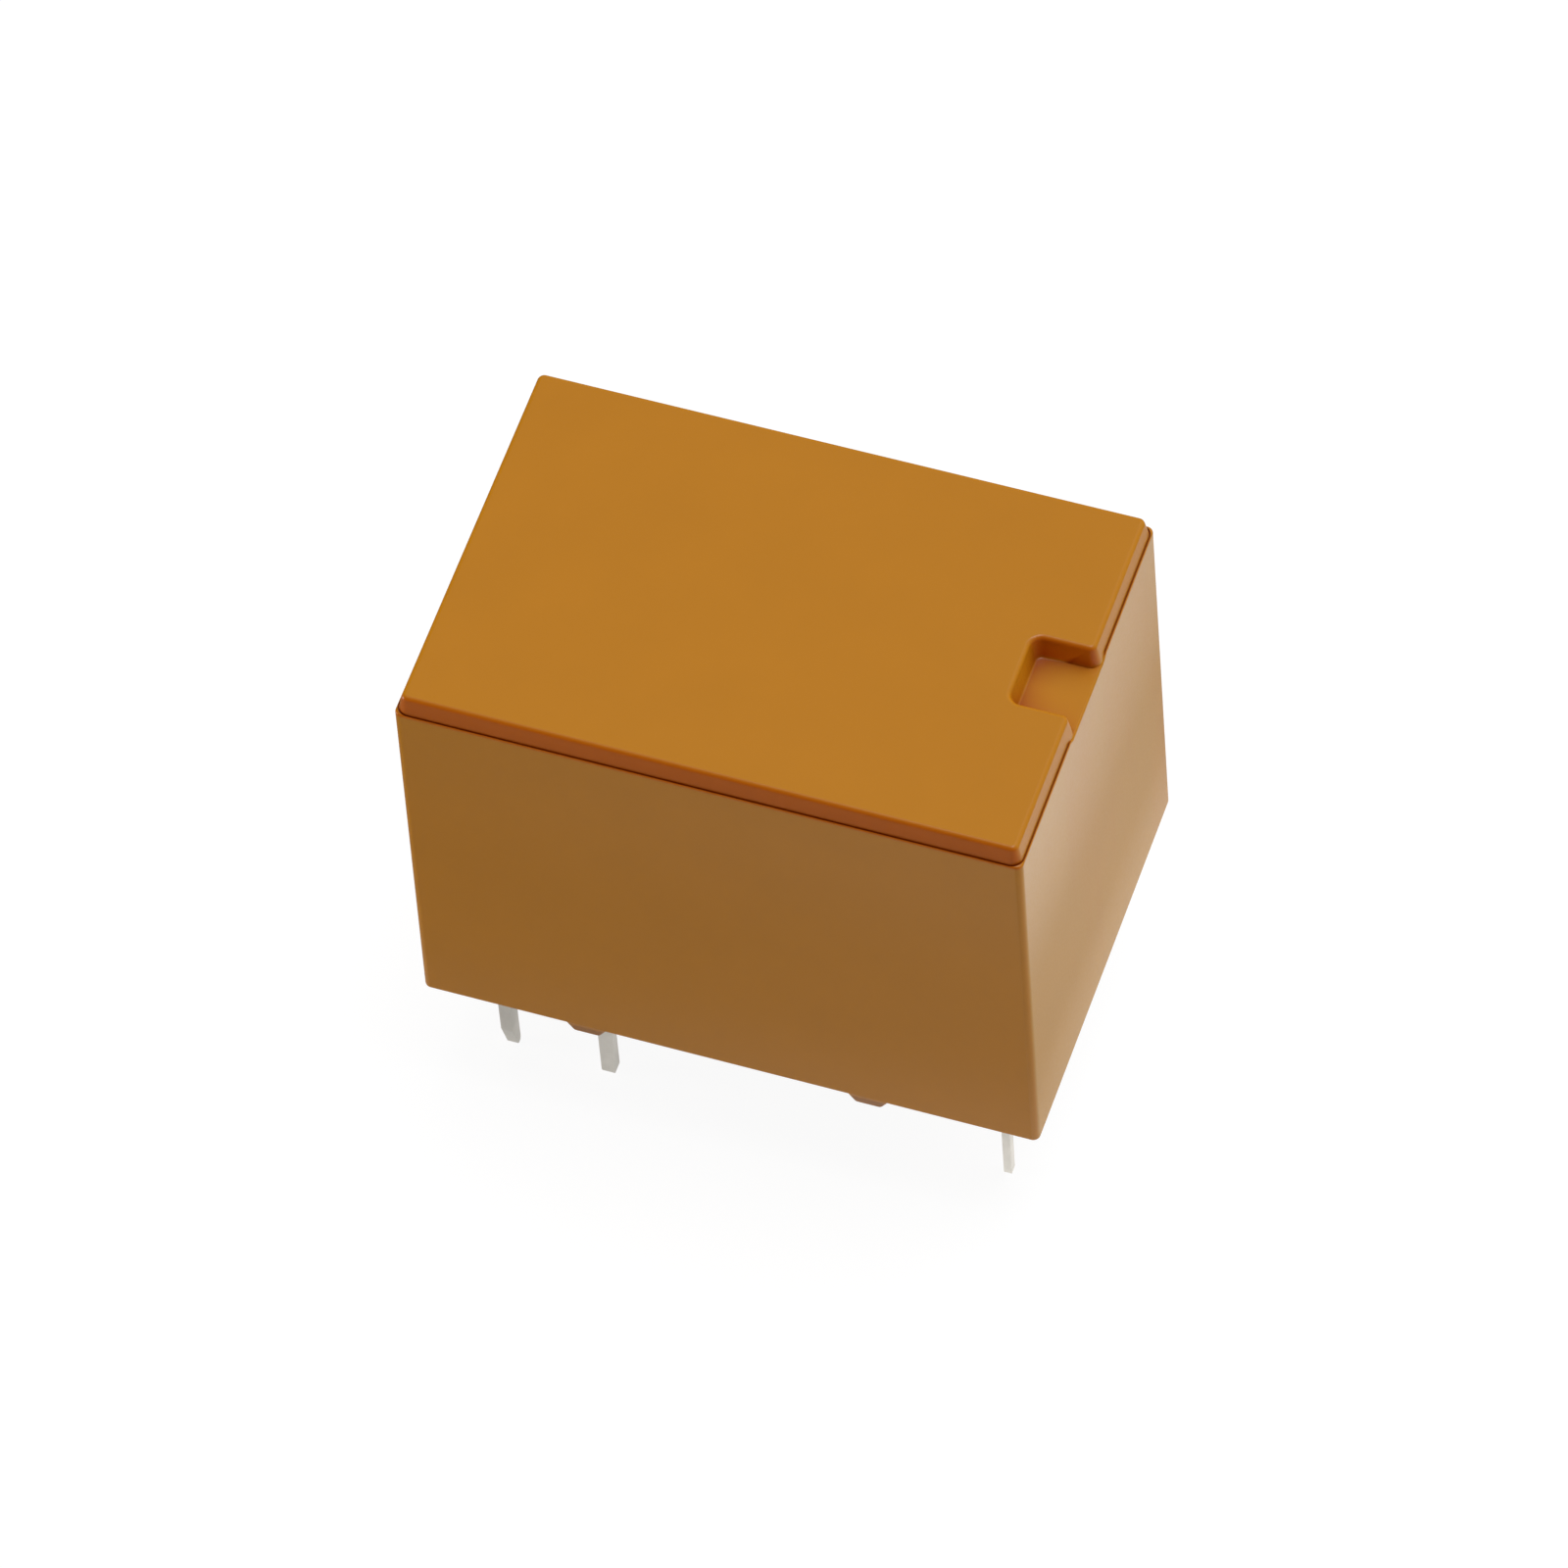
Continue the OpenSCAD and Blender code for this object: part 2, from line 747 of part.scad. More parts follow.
// Pin, blade and arm of a fixed contact, for the side of the given sign, with its arm at arm_z.
module contact_terminal(side, arm_z) {
    blade_w = blade_out_y - blade_in_y;
    arm_w = 1.8;
    color([0.8, 0.72, 0.52]) {
        intersection() {
            translate([contact_pin_x, side * row_y, 0])
                across(contact_pin_w)
                    round_tip(contact_t, base_z, 0.06);
            translate([0, side * row_y, 0])
                along(contact_pin_x - contact_t / 2, contact_t)
                    round_tip(contact_pin_w, base_z, 0.1);
        }
        translate([blade_x0, side * (blade_in_y + blade_out_y) / 2 - blade_w / 2, base_z])
            cube([contact_t, blade_w, arm_z + arm_t - base_z]);
        difference() {
            translate([0, 0, arm_z])
                linear_extrude(arm_t)
                    polygon([
                        [blade_x0 + contact_t, side * blade_out_y],
                        [blade_x0 + contact_t, side * blade_in_y],
                        [contact_x + arm_w / 2, side * -arm_w / 2],
                        [arm_x0, side * -arm_w / 2],
                        [arm_x0, side * arm_w / 2],
                        [contact_x, side * blade_out_y]
                    ]);
            translate([contact_x, 0, arm_z - 1])
                cylinder(r = shank_r, h = 3);
        }
    }
}

// A flat-faced rivet: head against the arm's face at z = 0, shank through it, flared behind it.
module fixed_contact() {
    rim = 0.05;
    color([0.86, 0.86, 0.85])
        rotate_extrude()
            polygon([
                [0, fixed_head_t],
                [contact_r - rim, fixed_head_t],
                [contact_r, fixed_head_t - rim],
                [contact_r, 0],
                [shank_r, 0],
                [shank_r, -arm_t],
                [shank_r + 0.2, -arm_t],
                [shank_r, -arm_t - 0.1],
                [0, -arm_t - 0.1]
            ]);
}

module normally_open_contact() {
    translate([contact_x, 0, no_arm_z + arm_t])
        fixed_contact();
}

module normally_closed_contact() {
    translate([contact_x, 0, nc_arm_z])
        mirror([0, 0, 1])
            fixed_contact();
}

cover();
base();
sealing_resin();
bobbin();
coil_winding();
coil_tape();
core();
yoke();
common_terminal();
coil_terminal(-1);  // coil_terminal_front
coil_terminal(1);  // coil_terminal_back
coil_solder(-1);  // coil_solder_front
coil_solder(1);  // coil_solder_back
armature();
moving_spring();
moving_contact();
contact_terminal(1, no_arm_z);  // normally_open_terminal
normally_open_contact();
contact_terminal(-1, nc_arm_z);  // normally_closed_terminal
normally_closed_contact();
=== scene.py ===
# %% [markdown]
# # A sealed relay for a circuit board
# The relay is a small moulded box with six tinned pins. A coil, a rocking armature and one changeover
# contact sit inside it, out of sight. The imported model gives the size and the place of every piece,
# and this lesson gives them their finish: soft mould radii, matt plastic, tinned metal and resin.
# Everything is in metres, so a length in millimetres is multiplied by MM where it is written down.

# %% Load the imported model
import math

import bmesh
import bpy
from mathutils import Matrix, Vector


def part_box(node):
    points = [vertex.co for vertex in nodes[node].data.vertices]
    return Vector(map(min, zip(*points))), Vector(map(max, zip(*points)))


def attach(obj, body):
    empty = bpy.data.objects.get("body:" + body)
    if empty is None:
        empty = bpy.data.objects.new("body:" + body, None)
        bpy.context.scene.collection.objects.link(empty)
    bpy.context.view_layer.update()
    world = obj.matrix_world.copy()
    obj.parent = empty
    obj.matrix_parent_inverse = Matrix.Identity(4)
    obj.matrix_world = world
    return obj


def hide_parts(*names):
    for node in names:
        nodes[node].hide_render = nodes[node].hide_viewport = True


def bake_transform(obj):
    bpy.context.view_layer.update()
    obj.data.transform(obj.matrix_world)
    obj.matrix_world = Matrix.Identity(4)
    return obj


MM = 0.001
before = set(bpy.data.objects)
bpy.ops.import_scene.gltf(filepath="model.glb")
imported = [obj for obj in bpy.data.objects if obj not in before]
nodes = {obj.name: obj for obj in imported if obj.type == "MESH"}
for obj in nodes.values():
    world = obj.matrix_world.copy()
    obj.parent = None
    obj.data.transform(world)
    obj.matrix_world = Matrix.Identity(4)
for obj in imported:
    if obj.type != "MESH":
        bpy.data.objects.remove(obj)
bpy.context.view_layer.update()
floor_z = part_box("common_terminal")[0].z
print("pieces in the model:", len(nodes), "- pin tips at", round(floor_z / MM, 2), "mm")

# %% [markdown]
# ## The camera
# The photograph looks down on the front right corner from far away with a long lens, which keeps the
# box's edges nearly parallel. The camera is placed by its direction, its distance and a small roll, and
# it is moved sideways instead of turned, so that the box keeps its place in the frame.

# %% Place the camera
CAMERA_AZIMUTH = math.radians(22.62)
CAMERA_ELEVATION = math.radians(54.9)
CAMERA_ROLL = math.radians(-4.89)
CAMERA_DISTANCE = 274.3 * MM
CAMERA_SIDE = -0.347 * MM
CAMERA_LIFT = 2.601 * MM
AIM_Z = 0.3 * MM
LENS_MM = 261.56
SENSOR_MM = 36.0

to_camera = Vector((
    math.sin(CAMERA_AZIMUTH) * math.cos(CAMERA_ELEVATION),
    -math.cos(CAMERA_AZIMUTH) * math.cos(CAMERA_ELEVATION),
    math.sin(CAMERA_ELEVATION),
))
level_right = Vector((math.cos(CAMERA_AZIMUTH), math.sin(CAMERA_AZIMUTH), 0))
level_up = to_camera.cross(level_right)
right = math.cos(CAMERA_ROLL) * level_right + math.sin(CAMERA_ROLL) * level_up
up = math.cos(CAMERA_ROLL) * level_up - math.sin(CAMERA_ROLL) * level_right
place = to_camera * CAMERA_DISTANCE + right * CAMERA_SIDE + up * CAMERA_LIFT + Vector((0, 0, AIM_Z))

lens = bpy.data.cameras.new("camera")
lens.lens = LENS_MM
lens.sensor_width = SENSOR_MM
lens.clip_start = 10 * MM
lens.clip_end = 20
camera = bpy.data.objects.new("camera", lens)
camera.matrix_world = Matrix.Translation(place) @ Matrix((right, up, to_camera)).transposed().to_4x4()
bpy.context.scene.collection.objects.link(camera)
bpy.context.scene.camera = camera
bpy.context.scene.view_settings.view_transform = "Standard"
print("camera at", tuple(round(c / MM, 1) for c in place), "mm")

# %% [markdown]
# ## Small helpers
# Two short functions turn a mesh into an object. The others build node trees. Each of them takes
# numbers, or the sockets that feed it, and returns the socket that carries its result, so a chain of
# nodes reads like a formula.

# %% Helpers for objects and nodes
def link_object(name, data):
    piece = bpy.data.objects.new(name, data)
    bpy.context.scene.collection.objects.link(piece)
    return piece


def mesh_piece(name, bm):
    mesh = bpy.data.meshes.new(name)
    bm.to_mesh(mesh)
    bm.free()
    return link_object(name, mesh)


def feed(tree, socket, value):
    """Sets a socket to a value, or links it to the socket that gives the value."""
    if isinstance(value, bpy.types.NodeSocket):
        tree.links.new(value, socket)
    else:
        socket.default_value = value


def math_node(tree, operation, *values):
    node = tree.nodes.new("ShaderNodeMath")
    node.operation = operation
    for socket, value in zip(node.inputs, values):
        feed(tree, socket, value)
    return node.outputs[0]


def ramp(tree, value, start, end):
    """Rises evenly from 0 to 1 while the value goes from start to end, and stays level beyond them."""
    result = math_node(tree, "MULTIPLY_ADD", value, 1 / (end - start), -start / (end - start))
    result.node.use_clamp = True
    return result


def vector_node(tree, operation, first, second):
    """A Vector Math node. The distance and the dot product are numbers, the others are vectors."""
    node = tree.nodes.new("ShaderNodeVectorMath")
    node.operation = operation
    feed(tree, node.inputs[0], first)
    feed(tree, node.inputs["Scale" if operation == "SCALE" else 1], second)
    return node.outputs["Value" if operation in ("DISTANCE", "DOT_PRODUCT") else "Vector"]


def mix_shaders(tree, factor, first, second):
    node = tree.nodes.new("ShaderNodeMixShader")
    tree.links.new(factor, node.inputs["Fac"])
    tree.links.new(first, node.inputs[1])
    tree.links.new(second, node.inputs[2])
    return node.outputs["Shader"]


# %% [markdown]
# ## The studio
# The relay stands on its pins on a white table, without a hard shadow. On such a set the light comes
# from behind and from the right: the table is bright there and falls off towards the front. The glossy
# plastic mirrors that, which whitens its right wall and leaves its front wall deep in colour. So the
# table has three parts, picked by the Light Path node: plain white for the camera, a glow that fades
# away from its bright place for reflections, and a pale grey, with a fainter glow, for the soft light
# that it throws on the walls. The mirrored glow is stronger where the ray to the table is short or
# long, so a paler band lies along the foot of the end wall and along its top. The table is clear from
# below, so the pins can be looked at from there too.

# %% White table
TABLE_SIZE = 3.0
TABLE_GLOW, TABLE_CATCH, TABLE_GREY = 0.93, 0.13, 0.85
BRIGHT_X, BRIGHT_Y, BRIGHT_REACH, FADE_POWER = 12 * MM, 6 * MM, 40 * MM, 1.3
MIRRORED, MIRRORED_NEAR, MIRRORED_FAR = 0.74, 0.9, 0.65
NEAR_REACH, FAR_START, FAR_END = 8 * MM, 12 * MM, 18 * MM
THROWN_LOW, THROWN_HIGH = 0.05, 0.29


def glow(tree, strength):
    node = tree.nodes.new("ShaderNodeEmission")
    feed(tree, node.inputs["Strength"], strength)
    return node.outputs["Emission"]


def glowing_grey(tree, strength, grey):
    """A glow on top of a grey surface, which catches light and shadow."""
    surface = tree.nodes.new("ShaderNodeBsdfDiffuse")
    surface.inputs["Color"].default_value = (grey, grey, grey, 1)
    both = tree.nodes.new("ShaderNodeAddShader")
    tree.links.new(glow(tree, strength), both.inputs[0])
    tree.links.new(surface.outputs["BSDF"], both.inputs[1])
    return both.outputs["Shader"]


def table_material():
    material = bpy.data.materials.new("white_table")
    material.use_nodes = True
    tree = material.node_tree
    tree.nodes.clear()
    path = tree.nodes.new("ShaderNodeLightPath")
    where = tree.nodes.new("ShaderNodeTexCoord")
    away = vector_node(tree, "DISTANCE", where.outputs["Object"], (BRIGHT_X, BRIGHT_Y, floor_z))
    fade = math_node(tree, "POWER", ramp(tree, away, BRIGHT_REACH, 0), FADE_POWER)
    near = ramp(tree, path.outputs["Ray Length"], NEAR_REACH, 0)
    far = ramp(tree, path.outputs["Ray Length"], FAR_START, FAR_END)
    mirrored = math_node(tree, "MULTIPLY_ADD", near, MIRRORED_NEAR, MIRRORED)
    mirrored = math_node(tree, "MULTIPLY_ADD", far, MIRRORED_FAR, mirrored)
    mirrored = glow(tree, math_node(tree, "MULTIPLY", fade, mirrored))
    thrown = math_node(tree, "MULTIPLY_ADD", fade, THROWN_HIGH - THROWN_LOW, THROWN_LOW)
    thrown = glowing_grey(tree, thrown, TABLE_GREY)
    white = glowing_grey(tree, TABLE_GLOW, TABLE_CATCH)
    seen = mix_shaders(tree, path.outputs["Is Glossy Ray"], thrown, mirrored)
    seen = mix_shaders(tree, path.outputs["Is Camera Ray"], seen, white)
    side = tree.nodes.new("ShaderNodeNewGeometry")
    clear = tree.nodes.new("ShaderNodeBsdfTransparent")
    seen = mix_shaders(tree, side.outputs["Backfacing"], seen, clear.outputs["BSDF"])
    output = tree.nodes.new("ShaderNodeOutputMaterial")
    tree.links.new(seen, output.inputs["Surface"])
    return material


bm = bmesh.new()
bmesh.ops.create_grid(bm, x_segments=1, y_segments=1, size=TABLE_SIZE / 2)
bmesh.ops.translate(bm, verts=bm.verts, vec=(0, 0, floor_z))
table = mesh_piece("table", bm)
table.data.materials.append(table_material())
print("table:", TABLE_SIZE, "m wide, at a height of", round(floor_z / MM, 2), "mm")

# %% Room light and lamps
ROOM_LOW, ROOM_HIGH, ROOM_MIRRORED, ROOM_SEEN = 0.02, 1.32, 0.03, 1.0
ROOM_BRIGHT_SIDE = (0.33, 0.64, 0.69)


def sky(tree, strength):
    node = tree.nodes.new("ShaderNodeBackground")
    node.inputs["Color"].default_value = (1, 1, 1, 1)
    feed(tree, node.inputs["Strength"], strength)
    return node.outputs["Background"]


def room():
    """White for the camera, dim in reflections, and brighter from above, behind and the right."""
    world = bpy.data.worlds.new("room")
    world.use_nodes = True
    tree = world.node_tree
    tree.nodes.clear()
    path = tree.nodes.new("ShaderNodeLightPath")
    where = tree.nodes.new("ShaderNodeTexCoord")
    lit = vector_node(tree, "DOT_PRODUCT", where.outputs["Generated"], ROOM_BRIGHT_SIDE)
    lit = math_node(tree, "POWER", math_node(tree, "MAXIMUM", lit, 0.0), 2.0)
    lit = math_node(tree, "MULTIPLY_ADD", lit, ROOM_HIGH - ROOM_LOW, ROOM_LOW)
    seen = mix_shaders(tree, path.outputs["Is Glossy Ray"], sky(tree, lit), sky(tree, ROOM_MIRRORED))
    seen = mix_shaders(tree, path.outputs["Is Camera Ray"], seen, sky(tree, ROOM_SEEN))
    output = tree.nodes.new("ShaderNodeOutputWorld")
    tree.links.new(seen, output.inputs["Surface"])
    bpy.context.scene.world = world


def lamp(name, place, size, power):
    """A square lamp, with its place and size in millimetres, turned towards the relay."""
    light = bpy.data.lights.new(name, "AREA")
    light.size = size * MM
    light.energy = power
    lamp_object = link_object(name, light)
    place = Vector(place) * MM
    lamp_object.matrix_world = Matrix.Translation(place) @ place.to_track_quat("Z", "Y").to_matrix().to_4x4()
    lamp_object.visible_camera = False


room()
lamp("lamp_right", (90, 40, 655), 320, 1.5)
lamp("lamp_left", (-75, -23, 8), 24, 0.018)

# %% [markdown]
# ## Finishes
# All the finishes are small node trees. Grain with painted shade in inner corners, and metal marks, are
# needed in several of them, so each is built once as a node group with its own inputs, and every
# material sets its own values.

# %% Helpers for finishes
def new_group(name, inputs, outputs):
    """An empty node group. Inputs are (name, type, value), and outputs are (name, type)."""
    group = bpy.data.node_groups.new(name, "ShaderNodeTree")
    for label, kind, value in inputs:
        socket = group.interface.new_socket(label, in_out="INPUT", socket_type="NodeSocket" + kind)
        if value is not None:
            socket.default_value = value
    for label, kind in outputs:
        group.interface.new_socket(label, in_out="OUTPUT", socket_type="NodeSocket" + kind)
    return group, group.nodes.new("NodeGroupInput"), group.nodes.new("NodeGroupOutput")


def noise_node(tree, vector, scale, detail, rough=0.5):
    node = tree.nodes.new("ShaderNodeTexNoise")
    node.inputs["Detail"].default_value = detail
    node.inputs["Roughness"].default_value = rough
    feed(tree, node.inputs["Scale"], scale)
    tree.links.new(vector, node.inputs["Vector"])
    return node.outputs["Fac"]


def vary(tree, noise, amount, middle):
    """Lets a value swing round its middle with a noise."""
    return math_node(tree, "MULTIPLY_ADD", math_node(tree, "SUBTRACT", noise, 0.5), amount, middle)


def mix_colors(tree, factor, first, second, blend="MIX"):
    """A Mix node for colours. Each colour is three numbers or the socket that feeds it."""
    node = tree.nodes.new("ShaderNodeMix")
    node.data_type = "RGBA"
    node.blend_type = blend
    tree.links.new(factor, node.inputs["Factor"])
    for label, color in (("A", first), ("B", second)):
        feed(tree, node.inputs[label], color if isinstance(color, bpy.types.NodeSocket) else (*color, 1))
    return node.outputs["Result"]


def bump_normal(tree, height, distance, strength):
    node = tree.nodes.new("ShaderNodeBump")
    node.inputs["Distance"].default_value = distance
    feed(tree, node.inputs["Strength"], strength)
    tree.links.new(height, node.inputs["Height"])
    return node.outputs["Normal"]


def plain_material(name, color, roughness, metallic=0.0):
    material = bpy.data.materials.new(name)
    material.use_nodes = True
    shader = material.node_tree.nodes["Principled BSDF"]
    shader.inputs["Base Color"].default_value = (*color, 1)
    shader.inputs["Roughness"].default_value = roughness
    shader.inputs["Metallic"].default_value = metallic
    return material, material.node_tree, shader


def add_group(tree, shader, group, values):
    """Puts a finish's node group in front of a shader, with the material's own values."""
    node = tree.nodes.new("ShaderNodeGroup")
    node.node_tree = group
    for label, value in values.items():
        node.inputs[label].default_value = value
    for output, target in (("Color", "Base Color"), ("Roughness", "Roughness"), ("Normal", "Normal")):
        tree.links.new(node.outputs[output], shader.inputs[target])
    return node


# %% Moulded grain
GRAIN_SCALE, GRAIN_HEIGHT, GRAIN_GLOSS, CLOUD_SCALE = 14000, 0.004 * MM, 0.12, 420
# Reach, steepness and limit of the painted shade in inner corners.
CORNER_SHADE_REACH, CORNER_SHADE_POWER, CORNER_SHADE_LIMIT = 0.9 * MM, 1.5, 0.75
PLASTIC_IOR = 1.45


def grain_and_corner_shade():
    """Fine spark-eroded grain with a soft mottling of tone, and painted shade: a deeper colour in inner
    corners, where less light gets in.
    """
    group, given, result = new_group(
        "grain_and_corner_shade",
        [("Vector", "Vector", None), ("Color", "Color", (0.5, 0.5, 0.5, 1)), ("Mottle", "Float", 0.04),
         ("Depth", "Float", 0.2), ("Roughness", "Float", 0.4), ("Corner Shade Color", "Color", (0.5, 0.5, 0.5, 1)),
         ("Corner Shade Depth", "Float", 1)],
        [("Color", "Color"), ("Roughness", "Float"), ("Normal", "Vector")],
    )
    fine = noise_node(group, given.outputs["Vector"], GRAIN_SCALE, 3)
    clouds = noise_node(group, given.outputs["Vector"], CLOUD_SCALE, 4, 0.6)
    tone = vary(group, clouds, given.outputs["Mottle"], 1.0)
    color = vector_node(group, "SCALE", given.outputs["Color"], tone)
    # Painted shade: an Ambient Occlusion node finds the inner corners, and the colour there is multiplied by
    # the corner colour.
    corners = group.nodes.new("ShaderNodeAmbientOcclusion")
    corners.inputs["Distance"].default_value = CORNER_SHADE_REACH
    painted_shade = math_node(group, "POWER", math_node(group, "SUBTRACT", 1.0, corners.outputs["AO"]), CORNER_SHADE_POWER)
    painted_shade = math_node(group, "MULTIPLY", painted_shade, given.outputs["Corner Shade Depth"])
    painted_shade = math_node(group, "MINIMUM", painted_shade, CORNER_SHADE_LIMIT)
    color = mix_colors(group, painted_shade, color, given.outputs["Corner Shade Color"], "MULTIPLY")
    group.links.new(color, result.inputs["Color"])
    group.links.new(vary(group, fine, GRAIN_GLOSS, given.outputs["Roughness"]), result.inputs["Roughness"])
    normal = bump_normal(group, fine, GRAIN_HEIGHT, given.outputs["Depth"])
    group.links.new(normal, result.inputs["Normal"])
    return group


GRAIN_AND_CORNER_SHADE = grain_and_corner_shade()


def moulded_plastic(name, color, roughness, mottle, depth, corner_shade_color, corner_shade_depth, tint=None):
    """Plastic with the moulded grain and its painted shade in inner corners. A tint is a node group that
    gives the colour instead.
    """
    material, tree, shader = plain_material(name, color, roughness)
    shader.inputs["IOR"].default_value = PLASTIC_IOR
    grain = add_group(tree, shader, GRAIN_AND_CORNER_SHADE, {
        "Color": (*color, 1), "Mottle": mottle, "Depth": depth, "Roughness": roughness,
        "Corner Shade Color": (*corner_shade_color, 1), "Corner Shade Depth": corner_shade_depth,
    })
    where = tree.nodes.new("ShaderNodeTexCoord")
    tree.links.new(where.outputs["Object"], grain.inputs["Vector"])
    if tint:
        tinted = tree.nodes.new("ShaderNodeGroup")
        tinted.node_tree = tint
        tree.links.new(tinted.outputs["Color"], grain.inputs["Color"])
    return material


print("grain inputs:", [i.name for i in GRAIN_AND_CORNER_SHADE.interface.items_tree if i.in_out == "INPUT"])

# %% [markdown]
# ## The cover
# The cover is one thin moulding, open below. Its walls lean in a little so that it leaves the mould, a
# raised panel stands on a narrow ledge, and a notch opens at the contact end of the panel. A plain box
# is tapered for the walls. The panel starts as a flat sheet with the notch cut out of it, and its face
# is lifted and drawn in step by step, so that one outline gives the leaning sides and the soft upper
# edge. Boolean modifiers then join the two and hollow them out. Every soft edge is real, because the
# highlights along the edges are what shows that the case is moulded.

# %% Sizes of the cover, in metres
CASE_L, CASE_W, CASE_H = 15.5 * MM, 10.4 * MM, 12 * MM
DRAFT_L, DRAFT_W = 0.09 * MM, 0.13 * MM
CORNER_R, RIM_R, RIM_Z = 0.18 * MM, 0.08 * MM, 0.3 * MM
PANEL_H, PANEL_LEAN, PANEL_R, PANEL_EDGE_R = 0.5 * MM, 0.1 * MM, 0.25 * MM, 0.13 * MM
LEDGE_W, LEDGE_EDGE_R = 0.06 * MM, 0.06 * MM
NOTCH_L, NOTCH_W, NOTCH_DROP = 1.5 * MM, 1.75 * MM, 0.12 * MM
NOTCH_IN_R, NOTCH_MOUTH_R, NOTCH_FLOOR_R = 0.2 * MM, 0.25 * MM, 0.08 * MM
MOUTH_DEPTH, MOUTH_FLARE = 0.05 * MM, 0.75 * MM
GROOVE_W, GROOVE_D, SUNK = 0.04 * MM, 0.06 * MM, 0.1 * MM
FEET_X, FOOT_L, FOOT_T = (-3.63 * MM, 3.47 * MM), 1.16 * MM, 0.45 * MM
FOOT_SLOPE, FOOT_IN, FOOT_EDGE_R = 0.25 * MM, 0.02 * MM, 0.09 * MM
CAVITY_L, CAVITY_W, CAVITY_R, CEILING_Z = 14.24 * MM, 9.1 * MM, 0.4 * MM, 11.35 * MM
MOUTH_L, MOUTH_W, BASE_Z = 14.4 * MM, 9.3 * MM, 1.9 * MM
BOSS_L, BOSS_W, BOSS_Z, BOSS_ROOT, BOSS_JOIN = 2 * MM, 3.2 * MM, 10.8 * MM, 0.2 * MM, 0.01 * MM

LEDGE_Z = CASE_H - PANEL_H
PANEL_L = CASE_L - 2 * (DRAFT_L + LEDGE_W)
PANEL_W = CASE_W - 2 * (DRAFT_W + LEDGE_W)
NOTCH_X = PANEL_L / 2 - NOTCH_L
FLOOR_Z = LEDGE_Z - NOTCH_DROP
TINY = 0.001 * MM


# %% Modelling helpers
def bevel(bm, geometry, radius, segments, affect="EDGES"):
    bmesh.ops.bevel(bm, geom=list(geometry), offset=radius, segments=segments, profile=0.5,
                    affect=affect, material=-1, clamp_overlap=False)


def edges_at(bm, height):
    """The level edges at one height."""
    return [e for e in bm.edges if all(abs(v.co.z - height) < TINY for v in e.verts)]


def upright_edges(bm):
    return [e for e in bm.edges if abs(e.verts[0].co.z - e.verts[1].co.z) > 0.1 * MM]


def block(low, high):
    """A plain box between two corners."""
    bm = bmesh.new()
    bmesh.ops.create_cube(bm, size=1)
    low, high = Vector(low), Vector(high)
    bmesh.ops.scale(bm, vec=high - low, verts=bm.verts)
    bmesh.ops.translate(bm, vec=(low + high) / 2, verts=bm.verts)
    return bm


def rounded_block(l, w, r, z0, z1, segments=6):
    """A box round the origin with rounded upright corners."""
    bm = block((-l / 2, -w / 2, z0), (l / 2, w / 2, z1))
    bevel(bm, upright_edges(bm), r, segments)
    return bm


def combine(piece, bm, operation):
    """Joins a mesh to a piece, or cuts it from the piece, with a Boolean modifier."""
    other = mesh_piece("tool", bm)
    boolean = piece.modifiers.new("boolean", "BOOLEAN")
    boolean.operation = operation
    boolean.solver = "EXACT"
    boolean.object = other
    view = bpy.context.evaluated_depsgraph_get()
    made = bpy.data.meshes.new_from_object(piece.evaluated_get(view))
    piece.modifiers.clear()
    piece.data = made
    bpy.data.objects.remove(other)


def soften(piece, angle=35):
    """Smooth shading with crisp corners, and flat faces that stay flat."""
    bm = bmesh.new()
    bm.from_mesh(piece.data)
    bmesh.ops.remove_doubles(bm, verts=bm.verts, dist=0.2 * TINY)
    for face in bm.faces:
        face.smooth = True
    for edge in bm.edges:
        edge.smooth = len(edge.link_faces) == 2 and edge.calc_face_angle(math.pi) < math.radians(angle)
    bm.to_mesh(piece.data)
    bm.free()
    weighted = piece.modifiers.new("weighted_normals", "WEIGHTED_NORMAL")
    weighted.keep_sharp = True
    weighted.weight = 100


# %% Flat sheets with a cut-out
def slice_flat(bm, point, normal):
    """Cuts every face along a plane, and keeps both sides."""
    bmesh.ops.bisect_plane(bm, geom=bm.verts[:] + bm.edges[:] + bm.faces[:], plane_co=point, plane_no=normal)


def flat_sheet(x0, x1, width, z=0):
    bm = bmesh.new()
    bmesh.ops.create_grid(bm, x_segments=1, y_segments=1, size=0.5)
    bmesh.ops.scale(bm, vec=(x1 - x0, width, 1), verts=bm.verts)
    bmesh.ops.translate(bm, vec=((x0 + x1) / 2, 0, z), verts=bm.verts)
    return bm


def cut_sheet(x0, x1, half_w, cut_x, cut_y, is_waste):
    """A sheet from x0 to x1. It is sliced at cut_x and at both cut_y, and the waste is taken out."""
    bm = flat_sheet(x0, x1, 2 * half_w)
    slice_flat(bm, (cut_x, 0, 0), (1, 0, 0))
    for y in (-cut_y, cut_y):
        slice_flat(bm, (0, y, 0), (0, 1, 0))
    waste = [f for f in bm.faces if is_waste(f.calc_center_median())]
    bmesh.ops.delete(bm, geom=waste, context="FACES")
    bmesh.ops.dissolve_limit(bm, angle_limit=math.radians(1), verts=bm.verts, edges=bm.edges)
    return bm


def round_corners(bm, x, y, radius):
    """Rounds the two corners of a sheet at x, on both sides of the middle."""
    found = [v for v in bm.verts if abs(v.co.x - x) < TINY and abs(abs(v.co.y) - y) < TINY]
    bevel(bm, found, radius, 10, "VERTICES")


# %% Body of the cover
def tapered_body():
    bm = block((-CASE_L / 2, -CASE_W / 2, RIM_Z), (CASE_L / 2, CASE_W / 2, LEDGE_Z))
    top = [v for v in bm.verts if v.co.z > CASE_H / 2]
    bmesh.ops.scale(bm, vec=(1 - 2 * DRAFT_L / CASE_L, 1 - 2 * DRAFT_W / CASE_W, 1), verts=top)
    bevel(bm, upright_edges(bm), CORNER_R, 8)
    return bm


